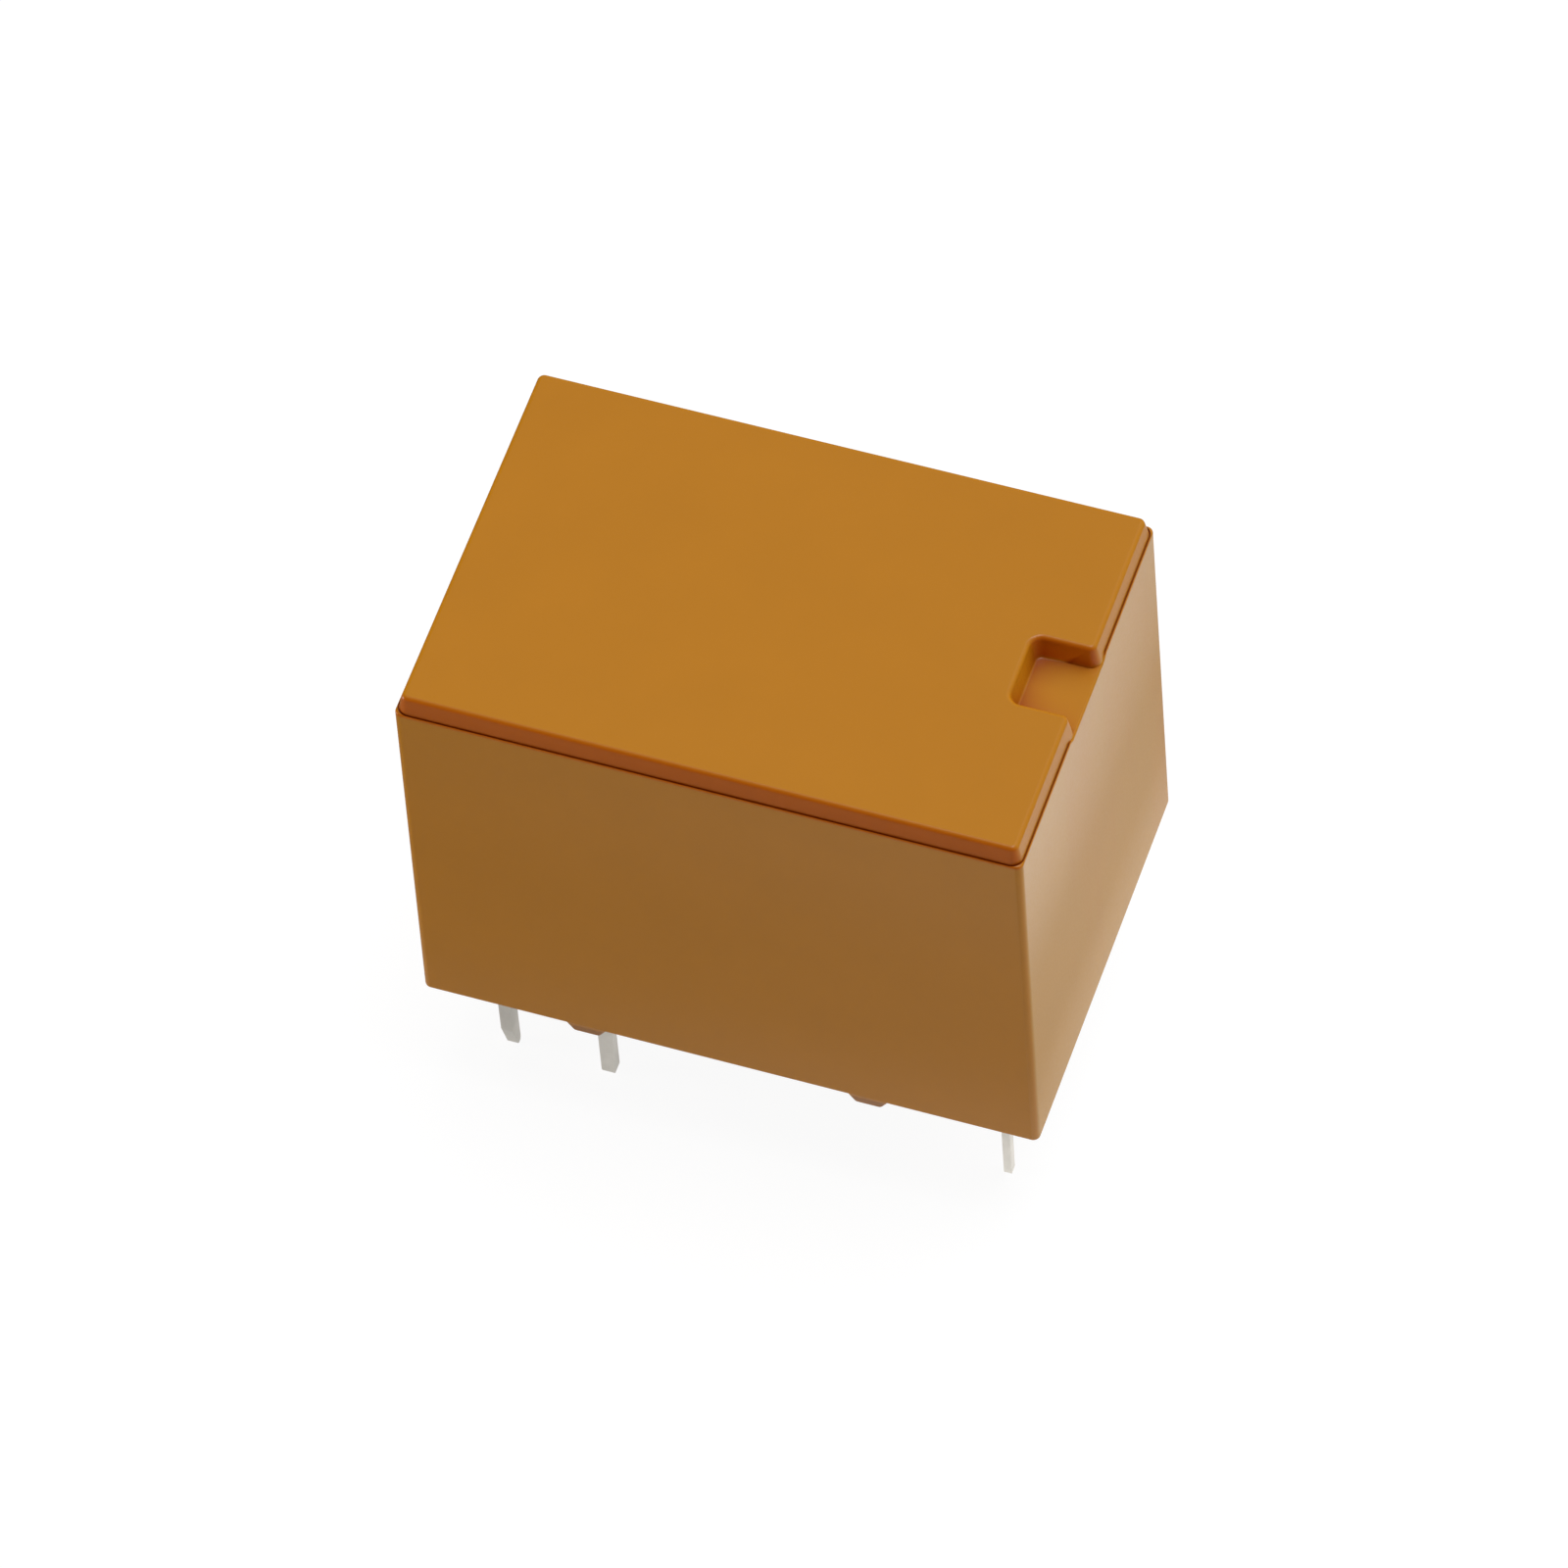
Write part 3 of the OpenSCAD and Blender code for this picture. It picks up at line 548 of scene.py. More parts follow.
def notch_floor():
    """The space to cut from the body: the notch with a soft lower edge, and a mouth that flares out."""
    mouth_x = PANEL_L / 2 - MOUTH_DEPTH
    mouth_y = NOTCH_W / 2 + NOTCH_MOUTH_R + GROOVE_W
    bm = cut_sheet(NOTCH_X, CASE_L, mouth_y, mouth_x, NOTCH_W / 2,
                   lambda c: c.x < mouth_x and abs(c.y) > NOTCH_W / 2)
    round_corners(bm, NOTCH_X, NOTCH_W / 2, NOTCH_IN_R)
    round_corners(bm, mouth_x, NOTCH_W / 2, NOTCH_MOUTH_R)
    bmesh.ops.translate(bm, vec=(0, 0, FLOOR_Z), verts=bm.verts)
    lifted = [g for g in bmesh.ops.extrude_face_region(bm, geom=bm.faces[:])["geom"]
              if isinstance(g, bmesh.types.BMVert)]
    bmesh.ops.translate(bm, vec=(0, 0, PANEL_H), verts=lifted)
    for side in (-1, 1):
        outer = [v for v in lifted if side * v.co.y > mouth_y - TINY]
        bmesh.ops.translate(bm, vec=(0, side * MOUTH_FLARE, 0), verts=outer)
    bmesh.ops.recalc_face_normals(bm, faces=bm.faces)
    inside = [e for e in edges_at(bm, FLOOR_Z) if all(abs(v.co.y) < NOTCH_W / 2 + TINY for v in e.verts)]
    bevel(bm, [e for e in inside if e.calc_face_angle() > 0.1 and min(v.co.x for v in e.verts) < mouth_x],
          NOTCH_FLOOR_R, 5)
    return bm


def on_outside(v):
    """Whether a vertex lies on the outer walls or on their corners."""
    from_end, from_side = CASE_L / 2 - abs(v.co.x), CASE_W / 2 - abs(v.co.y)
    at_corner = from_end < DRAFT_L + CORNER_R and from_side < DRAFT_W + CORNER_R
    return from_end < 1.1 * DRAFT_L or from_side < 1.1 * DRAFT_W or at_corner


cover = mesh_piece("case_cover", tapered_body())
combine(cover, notch_floor(), "DIFFERENCE")
bm = bmesh.new()
bm.from_mesh(cover.data)
ledge_edges = [e for e in bm.edges if all(on_outside(v) and v.co.z > FLOOR_Z - TINY for v in e.verts)]
bevel(bm, ledge_edges, LEDGE_EDGE_R, 4)
bevel(bm, edges_at(bm, RIM_Z), RIM_R, 4)
bm.to_mesh(cover.data)
bm.free()
print("body of the cover:", len(cover.data.polygons), "faces")


# %% Panel with its notch
def panel_steps():
    """How far each ring of the panel is drawn in and lifted: first the leaning side, then the edge."""
    tilt = math.atan(PANEL_LEAN / PANEL_H)
    wall_h = PANEL_H + NOTCH_DROP + SUNK - PANEL_EDGE_R * (1 - math.sin(tilt))
    steps = [(PANEL_LEAN / PANEL_H * wall_h, wall_h)]
    arc = [tilt + (math.pi / 2 - tilt) * i / 6 for i in range(7)]
    for a, b in zip(arc, arc[1:]):
        steps.append((PANEL_EDGE_R * (math.cos(a) - math.cos(b)), PANEL_EDGE_R * (math.sin(b) - math.sin(a))))
    return steps


def raised_panel():
    """The panel is lifted from its sunk foot, which is larger all round because the sides lean."""
    grow = PANEL_LEAN / PANEL_H * (NOTCH_DROP + SUNK)
    cut_x, cut_y = NOTCH_X + grow, NOTCH_W / 2 - grow
    end_x, side_y = PANEL_L / 2 + grow, PANEL_W / 2 + grow
    bm = cut_sheet(-end_x, end_x, side_y, cut_x, cut_y, lambda c: c.x > cut_x and abs(c.y) < cut_y)
    for x, y, radius in ((cut_x, cut_y, NOTCH_IN_R - grow), (end_x, cut_y, NOTCH_MOUTH_R + grow),
                         (end_x, side_y, PANEL_R + grow), (-end_x, side_y, PANEL_R + grow)):
        round_corners(bm, x, y, radius)
    bmesh.ops.translate(bm, vec=(0, 0, FLOOR_Z - SUNK), verts=bm.verts)
    face = bm.faces[:][0]
    for inward, rise in panel_steps():
        bmesh.ops.inset_region(bm, faces=[face], thickness=inward, use_even_offset=True, use_boundary=True)
        bmesh.ops.translate(bm, vec=(0, 0, rise), verts=face.verts)
    bmesh.ops.holes_fill(bm, edges=[e for e in bm.edges if e.is_boundary])
    bmesh.ops.recalc_face_normals(bm, faces=bm.faces)
    return bm


groove = rounded_block(PANEL_L + 2 * GROOVE_W, PANEL_W + 2 * GROOVE_W, PANEL_R + GROOVE_W,
                       LEDGE_Z - GROOVE_D, CASE_H, 10)
combine(cover, groove, "DIFFERENCE")
combine(cover, raised_panel(), "UNION")
print("with the panel:", len(cover.data.polygons), "faces")


# %% Feet and hollow
def foot(x, side):
    """A low foot under the rim, sloping at both ends, with soft edges."""
    y_out = side * (CASE_W / 2 - FOOT_IN)
    y_in = y_out - side * FOOT_T
    bm = block((x - FOOT_L / 2, min(y_in, y_out), 0), (x + FOOT_L / 2, max(y_in, y_out), RIM_Z + RIM_R))
    low = [v for v in bm.verts if v.co.z < TINY]
    for v in low:
        v.co.x += FOOT_SLOPE if v.co.x < x else -FOOT_SLOPE
    bevel(bm, [e for e in bm.edges if any(v in low for v in e.verts)], FOOT_EDGE_R, 5)
    return bm


for foot_x in FEET_X:
    for foot_side in (-1, 1):
        combine(cover, foot(foot_x, foot_side), "UNION")
combine(cover, rounded_block(CAVITY_L, CAVITY_W, CAVITY_R, 0, CEILING_Z), "DIFFERENCE")
combine(cover, rounded_block(MOUTH_L, MOUTH_W, CAVITY_R, -MM, BASE_Z), "DIFFERENCE")
combine(cover, block((CAVITY_L / 2 - BOSS_L, -BOSS_W / 2, BOSS_Z),
                     (CAVITY_L / 2 + BOSS_ROOT, BOSS_W / 2, CEILING_Z + BOSS_JOIN)), "UNION")
print("hollowed cover:", len(cover.data.polygons), "faces")

# %% [markdown]
# ## The colours of the case
# The plastic is amber, with three changes of tone painted on it. The front side of the raised panel
# lies in shade, and light leaves it after a longer way through the plastic, so it gets painted shade, a
# deeper colour. So do the feet, in the shade under the rim. The end wall that faces the bright right side
# gets a faint pale painted sheen, in streaks from top to bottom. Each change is a mask, made from the
# place on the case and from the way its surface faces.

# %% Colours of the case
# The plastic's own colour, a painted sheen for the bright end wall, and painted shade for the panel's front
# side and for the feet.
CASE_COLOR, SHEEN_COLOR = (0.62, 0.235, 0.003), (0.62, 0.29, 0.012)
SHADED_SIDE_COLOR, FOOT_SHADE_COLOR = (0.64, 0.14, 0.0), (0.42, 0.145, 0.0)
SIDE_FADE, FOOT_FADE = 0.1 * MM, 0.08 * MM
STREAK_SCALE, STREAK_STRETCH = 700, (1, 1, 0.12)
SHEEN_LOW, SHEEN_RANGE = 0.2, 1.6


def case_colors_shade_and_sheen():
    """The case's colour, with painted shade on the panel's front side and on the feet, and a painted sheen on
    the right end wall.
    """
    group, given, result = new_group("case_colors_shade_and_sheen", [], [("Color", "Color")])
    where = group.nodes.new("ShaderNodeTexCoord")
    place, facing = (group.nodes.new("ShaderNodeSeparateXYZ") for _ in range(2))
    group.links.new(where.outputs["Object"], place.inputs[0])
    group.links.new(where.outputs["Normal"], facing.inputs[0])
    # Painted shade: the panel's sides that face the front are deeper in colour.
    on_panel = ramp(group, place.outputs["Z"], FLOOR_Z, FLOOR_Z + SIDE_FADE)
    shaded_front = ramp(group, facing.outputs["Y"], 0, -0.77)
    color = mix_colors(group, math_node(group, "MULTIPLY", on_panel, shaded_front), CASE_COLOR, SHADED_SIDE_COLOR)
    # Painted shade: the feet, set back under the rim, are deeper in colour.
    feet_in_shade = ramp(group, place.outputs["Z"], RIM_Z, RIM_Z - FOOT_FADE)
    color = mix_colors(group, feet_in_shade, color, FOOT_SHADE_COLOR)
    # Painted sheen: a pale, streaky tint on the end wall that faces +x, the bright side, below the panel.
    stretched = vector_node(group, "MULTIPLY", where.outputs["Object"], STREAK_STRETCH)
    streaks = noise_node(group, stretched, STREAK_SCALE, 4, 0.6)
    sheen = math_node(group, "MULTIPLY_ADD", streaks, SHEEN_RANGE, SHEEN_LOW)
    sheen = math_node(group, "MULTIPLY", sheen, ramp(group, facing.outputs["X"], 0.8, 1))
    sheen = math_node(group, "MULTIPLY", sheen, math_node(group, "SUBTRACT", 1.0, on_panel))
    group.links.new(mix_colors(group, sheen, color, SHEEN_COLOR), result.inputs["Color"])
    return group


# The case plastic gets strong, deep red painted shade in its inner corners, such as the notch and the groove.
CASE_PLASTIC = moulded_plastic("case_plastic", CASE_COLOR, 0.33, 0.08, 0.25, (0.45, 0.04, 0.02), 2.0,
                               case_colors_shade_and_sheen())
print("case:", CASE_PLASTIC.name)

# %% Finish of the cover
cover.data.materials.clear()
cover.data.materials.append(CASE_PLASTIC)
soften(cover)
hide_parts("cover")
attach(cover, "housing")
print("finished cover:", len(cover.data.polygons), "faces")

# %% [markdown]
# ## Metals
# Six finishes are metal: tinned pins, plated iron, solder, the copper alloy of the spring, silver and
# enamelled wire. What sets them apart is colour, gloss and the direction of their fine marks. Rolled
# and stamped sheet has marks along its length, while solder and silver have none. One node group
# draws both kinds, because stretching a noise texture along one axis turns its spots into streaks.

# %% Metal marks
MARK_HEIGHT, MARK_GLOSS, PATCH_SCALE = 0.003 * MM, 0.08, 900


def metal_marks():
    """Fine marks and dull patches. Stretch pulls them out along one axis."""
    group, given, result = new_group(
        "metal_marks",
        [("Stretch", "Vector", (1, 1, 1)), ("Color", "Color", (0.6, 0.6, 0.6, 1)),
         ("Roughness", "Float", 0.35), ("Dulling", "Float", 0.2), ("Marks", "Float", 0.2),
         ("Scale", "Float", 2500)],
        [("Color", "Color"), ("Roughness", "Float"), ("Normal", "Vector")],
    )
    where = group.nodes.new("ShaderNodeTexCoord").outputs["Object"]
    stretched = vector_node(group, "MULTIPLY", where, given.outputs["Stretch"])
    marks = noise_node(group, stretched, given.outputs["Scale"], 3)
    patches = noise_node(group, where, PATCH_SCALE, 3, 0.6)
    dull = vary(group, patches, given.outputs["Dulling"], 0.0)
    shade = vector_node(group, "SCALE", given.outputs["Color"], math_node(group, "SUBTRACT", 1.0, dull))
    group.links.new(shade, result.inputs["Color"])
    rough = math_node(group, "ADD", given.outputs["Roughness"], dull)
    rough = math_node(group, "MULTIPLY_ADD", marks, MARK_GLOSS, rough)
    group.links.new(rough, result.inputs["Roughness"])
    group.links.new(bump_normal(group, marks, MARK_HEIGHT, given.outputs["Marks"]), result.inputs["Normal"])
    return group


METAL_MARKS = metal_marks()


def marked_metal(name, color, roughness, stretch=(1, 1, 1), metallic=1.0, dulling=0.15, marks=0.3,
                 scale=2500):
    material, tree, shader = plain_material(name, color, roughness, metallic)
    add_group(tree, shader, METAL_MARKS, {
        "Stretch": stretch, "Color": (*color, 1), "Roughness": roughness, "Dulling": dulling,
        "Marks": marks, "Scale": scale,
    })
    return material


TINNED_METAL = marked_metal("tinned_metal", (0.89, 0.85, 0.77), 0.42, (1, 1, 0.15), 0.65, 0.3)
SOFT_IRON = marked_metal("soft_iron", (0.54, 0.54, 0.55), 0.34, (1, 0.08, 1), 1.0, 0.12)
SOLDER = marked_metal("solder", (0.7, 0.7, 0.71), 0.2, dulling=0.25, marks=0.6, scale=1400)
SPRING_COPPER = marked_metal("spring_copper", (0.78, 0.42, 0.2), 0.3, (0.06, 1, 1), 1.0, 0.15)
CONTACT_SILVER = marked_metal("contact_silver", (0.86, 0.85, 0.81), 0.24, dulling=0.2, marks=0.15)
ENAMELLED_WIRE = marked_metal("enamelled_wire", (0.6, 0.19, 0.06), 0.32, dulling=0.2, marks=0.1)
enamel = ENAMELLED_WIRE.node_tree.nodes["Principled BSDF"]
enamel.inputs["Coat Weight"].default_value = 0.7
enamel.inputs["Coat Roughness"].default_value = 0.12
METALS = (TINNED_METAL, SOFT_IRON, SOLDER, SPRING_COPPER, CONTACT_SILVER, ENAMELLED_WIRE)
print("metals:", [m.name for m in METALS])

# %% [markdown]
# ## Plastics, resin and film inside
# The base is a dark moulding and the bobbin an off-white one, so both reuse the moulded grain, with
# its painted shade in inner corners, in their own colours. The resin was poured in and set: it is glossy,
# gently wavy and has a few specks. The film round the coil is thin, glossy and amber, with soft creases
# along its length.

# %% Base, bobbin, resin and film
SPECK_SCALE, SPECK_TONE, SPECK_GLOSS = 9000, 0.6, 0.1
WAVE_STRENGTH = 0.5


def set_surface(name, color, light, roughness, stretch, scale, depth):
    """A glossy surface that waves softly. Its tone drifts between two colours."""
    material, tree, shader = plain_material(name, color, roughness)
    where = tree.nodes.new("ShaderNodeTexCoord").outputs["Object"]
    waves = noise_node(tree, vector_node(tree, "MULTIPLY", where, stretch), scale, 3)
    specks = noise_node(tree, where, SPECK_SCALE, 2)
    tone = math_node(tree, "MULTIPLY_ADD", specks, SPECK_TONE, waves)
    tone = math_node(tree, "SUBTRACT", tone, SPECK_TONE / 2)
    tree.links.new(mix_colors(tree, tone, color, light), shader.inputs["Base Color"])
    rough = math_node(tree, "MULTIPLY_ADD", specks, SPECK_GLOSS, roughness)
    tree.links.new(rough, shader.inputs["Roughness"])
    tree.links.new(bump_normal(tree, waves, depth, WAVE_STRENGTH), shader.inputs["Normal"])
    return material


# Base and bobbin get painted shade in their inner corners: grey on the base and brown on the bobbin.
BASE_PLASTIC = moulded_plastic("base_plastic", (0.034, 0.031, 0.029), 0.5, 0.3, 0.35, (0.4, 0.4, 0.4), 0.8)
BOBBIN_PLASTIC = moulded_plastic("bobbin_plastic", (0.8, 0.77, 0.69), 0.42, 0.05, 0.2,
                                 (0.55, 0.48, 0.38), 0.8)
EPOXY_RESIN = set_surface("epoxy_resin", (0.014, 0.014, 0.016), (0.03, 0.03, 0.033), 0.1,
                          (1, 1, 1), 500, 0.03 * MM)
COIL_FILM = set_surface("coil_film", (0.62, 0.4, 0.06), (0.78, 0.56, 0.13), 0.16,
                        (1, 1, 0.2), 700, 0.02 * MM)
print("inside:", [m.name for m in (BASE_PLASTIC, BOBBIN_PLASTIC, EPOXY_RESIN, COIL_FILM)])

# %% [markdown]
# ## The sealing resin
# The case is sealed from below. While the resin is liquid it creeps a little way up the walls and up
# every pin, and it sets in that shape, with a hollow curve along each edge. The slab starts as a
# rounded block. Its lower face is inset in steps, and each ring is drawn in by less than the one
# before while it sinks in. The collars round the pins are one short curve, spun about each pin.

# %% Resin slab and its collars
RESIN_Z, RESIN_TOP_Z = 0.62 * MM, 0.9 * MM
CREEP_W, CREEP_H, CREEP_STEPS = 0.28 * MM, 0.14 * MM, 5
COLLAR_H, COLLAR_ROOT = 0.16 * MM, 0.05 * MM
COMMON_X, COIL_PIN_X, CONTACT_PIN_X, ROW_Y = -6.25 * MM, -3.71 * MM, 6.45 * MM, 3.81 * MM
PINS = ((COMMON_X, 0.275 * MM), (COIL_PIN_X, 0.24 * MM), (CONTACT_PIN_X, 0.165 * MM))


def spin_round(bm, points, centre, steps=48):
    """Turns a curve, given as radius and height, once about an upright line."""
    corners = [bm.verts.new((centre[0] + r, centre[1], z)) for r, z in points]
    curve = [bm.edges.new(pair) for pair in zip(corners, corners[1:])]
    bmesh.ops.spin(bm, geom=corners + curve, cent=(*centre, 0), axis=(0, 0, 1), angle=math.tau,
                   steps=steps, use_merge=True)


def collar_curve(pin_r):
    """Half the outline of the resin round a pin: the tip, the hollow curve and the root in the slab."""
    turns = [math.pi / 2 * i / 6 for i in range(7)]
    hollow = [(pin_r + COLLAR_H * (1 - math.cos(t)), RESIN_Z - COLLAR_H * (1 - math.sin(t))) for t in turns]
    root_z = RESIN_Z + COLLAR_ROOT
    return [(TINY, RESIN_Z - COLLAR_H)] + hollow + [(pin_r + COLLAR_H, root_z), (TINY, root_z)]


def resin_slab():
    bm = rounded_block(MOUTH_L, MOUTH_W, CAVITY_R, RESIN_Z - CREEP_H, RESIN_TOP_Z)
    low = [f for f in bm.faces if f.normal.z < -0.9][0]
    for i in range(CREEP_STEPS):
        a, b = math.pi / 2 * i / CREEP_STEPS, math.pi / 2 * (i + 1) / CREEP_STEPS
        bmesh.ops.inset_region(bm, faces=[low], thickness=CREEP_W * (math.cos(a) - math.cos(b)) + TINY,
                               use_even_offset=True)
        bmesh.ops.translate(bm, vec=(0, 0, CREEP_H * (math.sin(b) - math.sin(a))), verts=low.verts)
    for x, pin_r in PINS:
        for y in (-ROW_Y, ROW_Y):
            spin_round(bm, collar_curve(pin_r), (x, y))
    bmesh.ops.remove_doubles(bm, verts=bm.verts, dist=2 * TINY)
    bmesh.ops.recalc_face_normals(bm, faces=bm.faces)
    return bm


resin = mesh_piece("set_resin", resin_slab())
resin.data.materials.append(EPOXY_RESIN)
soften(resin, 50)
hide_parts("sealing_resin")
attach(resin, "housing")
print("resin:", len(resin.data.polygons), "faces")

# %% [markdown]
# ## The winding
# Below the film the turns of wire lie bare, side by side. Nobody models several hundred turns one by
# one: a single turn is a small circle spun about the core, and an Array modifier stacks it up the
# bobbin. Behind the outer layer a plain ring stands for the layers that never show. Two leads run
# from under the turns to the coil pins, where they end in the solder.

# %% Turns of wire
CORE_X, COIL_R, BOBBIN_R = -1.6 * MM, 3.45 * MM, 1.75 * MM
COIL_LOW_Z, COIL_HIGH_Z = 3.2 * MM, 7.59 * MM
WIRE_R, ROUND_STEPS = 0.06 * MM, 96
LEAD_Z, LEAD_SAG, LEAD_STEPS = 3.9 * MM, 0.08 * MM, 10
LEAD_START, LEAD_GAP = COIL_R - 0.3 * MM, 0.2 * MM
TURNS = round((COIL_HIGH_Z - COIL_LOW_Z) / (2 * WIRE_R)) - 1
PITCH = (COIL_HIGH_Z - COIL_LOW_Z - 2 * WIRE_R) / (TURNS - 1)


def wire_turn():
    bm = bmesh.new()
    bmesh.ops.create_circle(bm, segments=8, radius=WIRE_R)
    bmesh.ops.rotate(bm, matrix=Matrix.Rotation(math.pi / 2, 3, "X"), verts=bm.verts)
    bmesh.ops.translate(bm, vec=(CORE_X + COIL_R - WIRE_R, 0, COIL_LOW_Z + WIRE_R), verts=bm.verts)
    bmesh.ops.spin(bm, geom=bm.verts[:] + bm.edges[:], cent=(CORE_X, 0, 0), axis=(0, 0, 1), angle=math.tau,
                   steps=ROUND_STEPS, use_merge=True)
    bmesh.ops.recalc_face_normals(bm, faces=bm.faces)
    return bm


def add_lead(bm, y):
    """A lead from under the turns to a coil pin. It sags a little on its way."""
    pin = Vector((COIL_PIN_X - CORE_X, y, 0))
    along = pin.normalized()
    step = along * (pin.length - LEAD_START - LEAD_GAP) / LEAD_STEPS
    start = Vector((CORE_X, 0, LEAD_Z)) + along * LEAD_START
    turned = pin.to_track_quat("Z", "Y").to_matrix().to_4x4()
    ring = bmesh.ops.create_circle(bm, segments=12, radius=WIRE_R, matrix=Matrix.Translation(start) @ turned,
                                   cap_ends=True)["verts"]
    edges = [e for e in bm.edges if all(v in ring for v in e.verts)]
    for i in range(LEAD_STEPS):
        made = bmesh.ops.extrude_edge_only(bm, edges=edges)["geom"]
        ring = [g for g in made if isinstance(g, bmesh.types.BMVert)]
        edges = [g for g in made if isinstance(g, bmesh.types.BMEdge) and all(v in ring for v in g.verts)]
        fall = math.sin(math.pi * i / LEAD_STEPS) - math.sin(math.pi * (i + 1) / LEAD_STEPS)
        bmesh.ops.translate(bm, vec=step + Vector((0, 0, LEAD_SAG * fall)), verts=ring)
    bmesh.ops.contextual_create(bm, geom=edges)


def under_layers_and_leads():
    bm = bmesh.new()
    outer = COIL_R - WIRE_R
    ring = [(BOBBIN_R, COIL_LOW_Z), (outer, COIL_LOW_Z), (outer, COIL_HIGH_Z), (BOBBIN_R, COIL_HIGH_Z)]
    spin_round(bm, ring + ring[:1], (CORE_X, 0), ROUND_STEPS)
    for y in (-ROW_Y, ROW_Y):
        add_lead(bm, y)
    bmesh.ops.remove_doubles(bm, verts=bm.verts, dist=TINY)
    bmesh.ops.recalc_face_normals(bm, faces=bm.faces)
    return bm


turns = mesh_piece("wire_turns", wire_turn())
array = turns.modifiers.new("turns", "ARRAY")
array.count = TURNS
array.use_relative_offset = False
array.use_constant_offset = True
array.constant_offset_displace = (0, 0, PITCH)
under = mesh_piece("under_layers", under_layers_and_leads())
for piece in (turns, under):
    piece.data.materials.append(ENAMELLED_WIRE)
    for face in piece.data.polygons:
        face.use_smooth = True
    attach(piece, "housing")
soften(under, 50)
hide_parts("coil_winding")
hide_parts("coil_winding")
print("turns of wire:", TURNS)

# %% [markdown]
# ## The leaf spring
# The moving contact sits on a leaf of copper alloy. It is riveted to the armature and to the back of
# the yoke, and its two legs bend when the armature rocks. It is made as in a press shop: a flat sheet
# is cut to shape with its window and folded along close parallel lines. The folds are made from the
# far end inwards, so that each line is still flat when its turn comes. The thickness is added last.

# %% Flat leaf
LEAF_T, LEAF_W, LEG_W, NECK_W, LEAF_EDGE_R = 0.15 * MM, 4.4 * MM, 1.2 * MM, 2 * MM, 0.015 * MM
TAPER_X, NECK_X, LEAF_END_X, WINDOW_X = 8.7 * MM, 9.3 * MM, 12.1 * MM, 1.2 * MM
HINGE_X, HINGE_Z, IRON_T = -6.1 * MM, 8.5 * MM, 0.8 * MM
OPEN_ANGLE = math.radians(2.2)
BEND_R, BEND_STEPS = 0.275 * MM, 12
BACK_X = -0.3 * MM
LEAF_LOW_Z, STRAP_Z = 5.3 * MM - HINGE_Z, 7 * MM - HINGE_Z

bend_angle = math.pi / 2 - OPEN_ANGLE
fold = bend_angle / BEND_STEPS
chord = 2 * BEND_R * math.sin(fold / 2)
bend_x = BACK_X + BEND_R
bend_s = (bend_x + (IRON_T - BEND_R) * math.sin(OPEN_ANGLE)) / math.cos(OPEN_ANGLE)
leg_top_z = bend_s * math.sin(OPEN_ANGLE) + (IRON_T - BEND_R) * math.cos(OPEN_ANGLE)
fold_lines = [bend_s - i * chord for i in range(BEND_STEPS + 1)]
leg_end = fold_lines[-1] - (leg_top_z - LEAF_LOW_Z)
window_end = fold_lines[-1] - (leg_top_z - STRAP_Z)


def flat_leaf():
    bm = flat_sheet(leg_end, LEAF_END_X, LEAF_W, IRON_T)
    for x in [TAPER_X, NECK_X, WINDOW_X, window_end] + fold_lines:
        slice_flat(bm, (x, 0, 0), (1, 0, 0))
    for side in (-1, 1):
        slice_flat(bm, (0, side * (LEAF_W / 2 - LEG_W), 0), (0, 1, 0))
    window = [f for f in bm.faces if window_end < f.calc_center_median().x < WINDOW_X
              and abs(f.calc_center_median().y) < LEAF_W / 2 - LEG_W]
    bmesh.ops.delete(bm, geom=window, context="FACES")
    neck = [v for v in bm.verts if v.co.x > NECK_X - TINY]
    bmesh.ops.scale(bm, vec=(1, NECK_W / LEAF_W, 1), verts=neck)
    end = [v for v in bm.verts if v.co.x > LEAF_END_X - TINY and abs(v.co.y) > NECK_W / 2 - TINY]
    bmesh.ops.dissolve_verts(bm, verts=[v for v in bm.verts if v.co.x > LEAF_END_X - TINY and v not in end])
    bevel(bm, end, NECK_W / 2 - TINY, 12, "VERTICES")
    return bm


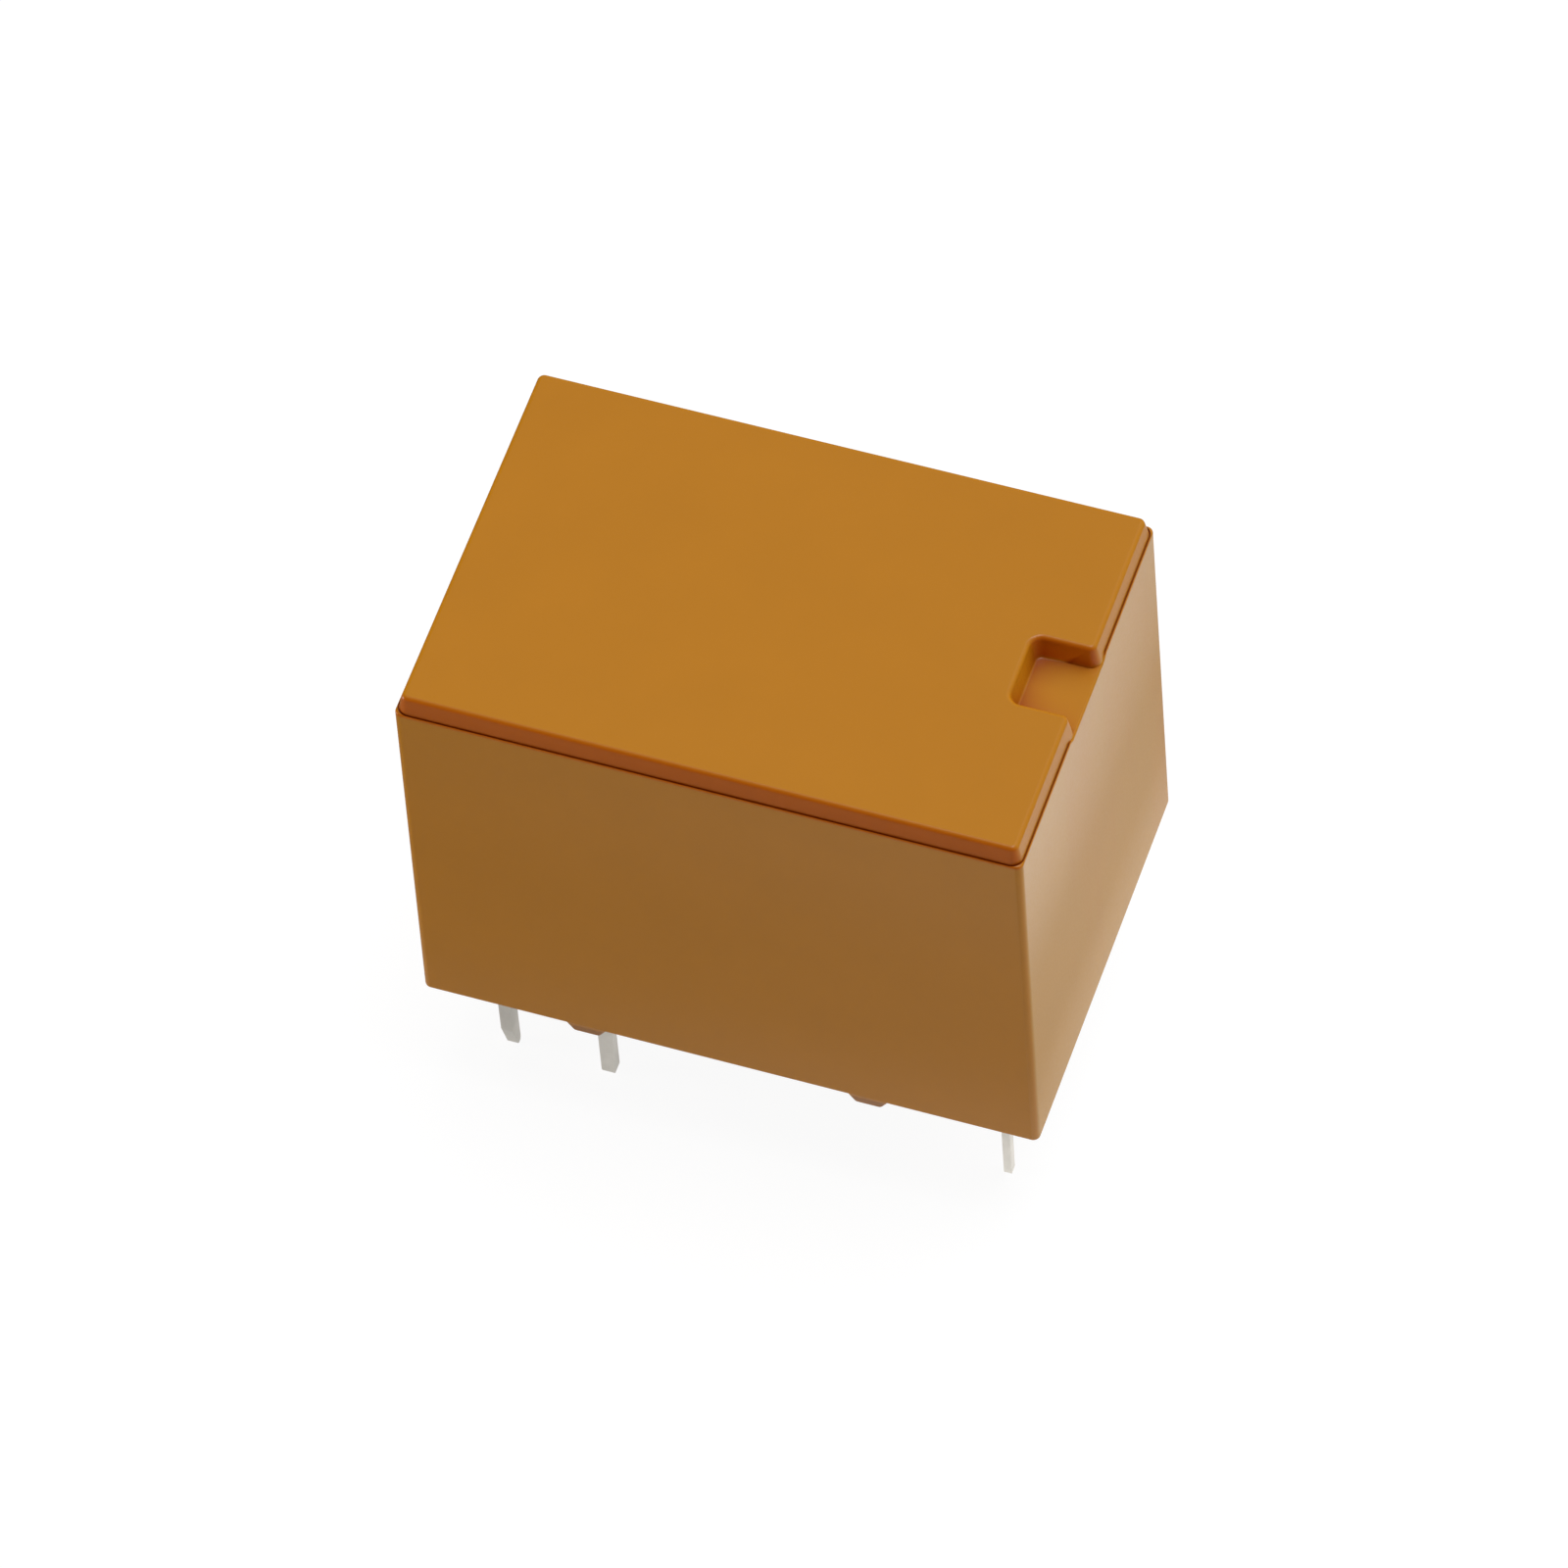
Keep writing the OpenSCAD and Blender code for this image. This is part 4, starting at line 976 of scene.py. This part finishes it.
# %% Fold the leaf and give it its thickness
def folded_leaf():
    bm = flat_leaf()
    for i in range(BEND_STEPS, -1, -1):
        turn = fold if 0 < i < BEND_STEPS else fold / 2
        beyond = [v for v in bm.verts if v.co.x < fold_lines[i] - TINY / 10 or v.co.z < IRON_T - TINY / 10]
        turned = Matrix.Rotation(-turn, 3, "Y")
        bmesh.ops.rotate(bm, cent=(fold_lines[i], 0, IRON_T), matrix=turned, verts=beyond)
    bmesh.ops.recalc_face_normals(bm, faces=bm.faces)
    up = [f for f in bm.faces if f.calc_center_median().x > WINDOW_X]
    if up[0].normal.z < 0:
        bmesh.ops.reverse_faces(bm, faces=bm.faces)
    bmesh.ops.solidify(bm, geom=bm.faces[:], thickness=-LEAF_T)
    bmesh.ops.recalc_face_normals(bm, faces=bm.faces)
    bevel(bm, [e for e in bm.edges if e.calc_face_angle(0) > math.radians(60)], LEAF_EDGE_R, 2)
    bmesh.ops.rotate(bm, cent=(0, 0, 0), matrix=Matrix.Rotation(-OPEN_ANGLE, 3, "Y"), verts=bm.verts)
    bmesh.ops.translate(bm, vec=(HINGE_X, 0, HINGE_Z), verts=bm.verts)
    return bm


leaf = mesh_piece("leaf_spring", folded_leaf())
leaf.data.materials.append(SPRING_COPPER)
soften(leaf)
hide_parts("moving_spring")
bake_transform(leaf)
low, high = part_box("moving_spring")
corners = [v.co for v in leaf.data.vertices]
print("leaf against the packed one, mm:",
      [round((min(c[i] for c in corners) - low[i]) / MM, 3) for i in range(3)],
      [round((max(c[i] for c in corners) - high[i]) / MM, 3) for i in range(3)])

# %% [markdown]
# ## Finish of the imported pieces
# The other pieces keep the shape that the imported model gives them. Real stamped and moulded parts
# have no razor edges, so each piece gets a Weld modifier, which closes the seams between its faces,
# and a narrow Bevel, which catches the light along the edges. The bevel hardens its normals, so the
# flat faces stay flat.

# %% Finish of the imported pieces
FINISHES = {
    "base": (BASE_PLASTIC, 0.04), "bobbin": (BOBBIN_PLASTIC, 0.04), "coil_tape": (COIL_FILM, 0.01),
    "core": (SOFT_IRON, 0.03), "yoke": (SOFT_IRON, 0.04), "armature": (SOFT_IRON, 0.03),
    "common_terminal": (TINNED_METAL, 0.02), "coil_terminal_front": (TINNED_METAL, 0.05),
    "coil_terminal_back": (TINNED_METAL, 0.05), "coil_solder_front": (SOLDER, 0.01),
    "coil_solder_back": (SOLDER, 0.01), "moving_contact": (CONTACT_SILVER, 0.015),
    "normally_open_terminal": (TINNED_METAL, 0.02), "normally_closed_terminal": (TINNED_METAL, 0.02),
    "normally_open_contact": (CONTACT_SILVER, 0.015), "normally_closed_contact": (CONTACT_SILVER, 0.015),
}
for name, (material, width) in FINISHES.items():
    piece = nodes[name]
    piece.data.materials.clear()
    piece.data.materials.append(material)
    weld = piece.modifiers.new("weld", "WELD")
    weld.merge_threshold = TINY
    soft = piece.modifiers.new("soft_edges", "BEVEL")
    soft.width = width * MM
    soft.segments = 2
    soft.limit_method = "ANGLE"
    soft.angle_limit = math.radians(35)
    soft.harden_normals = True
print("finished:", len(FINISHES), "packed pieces")
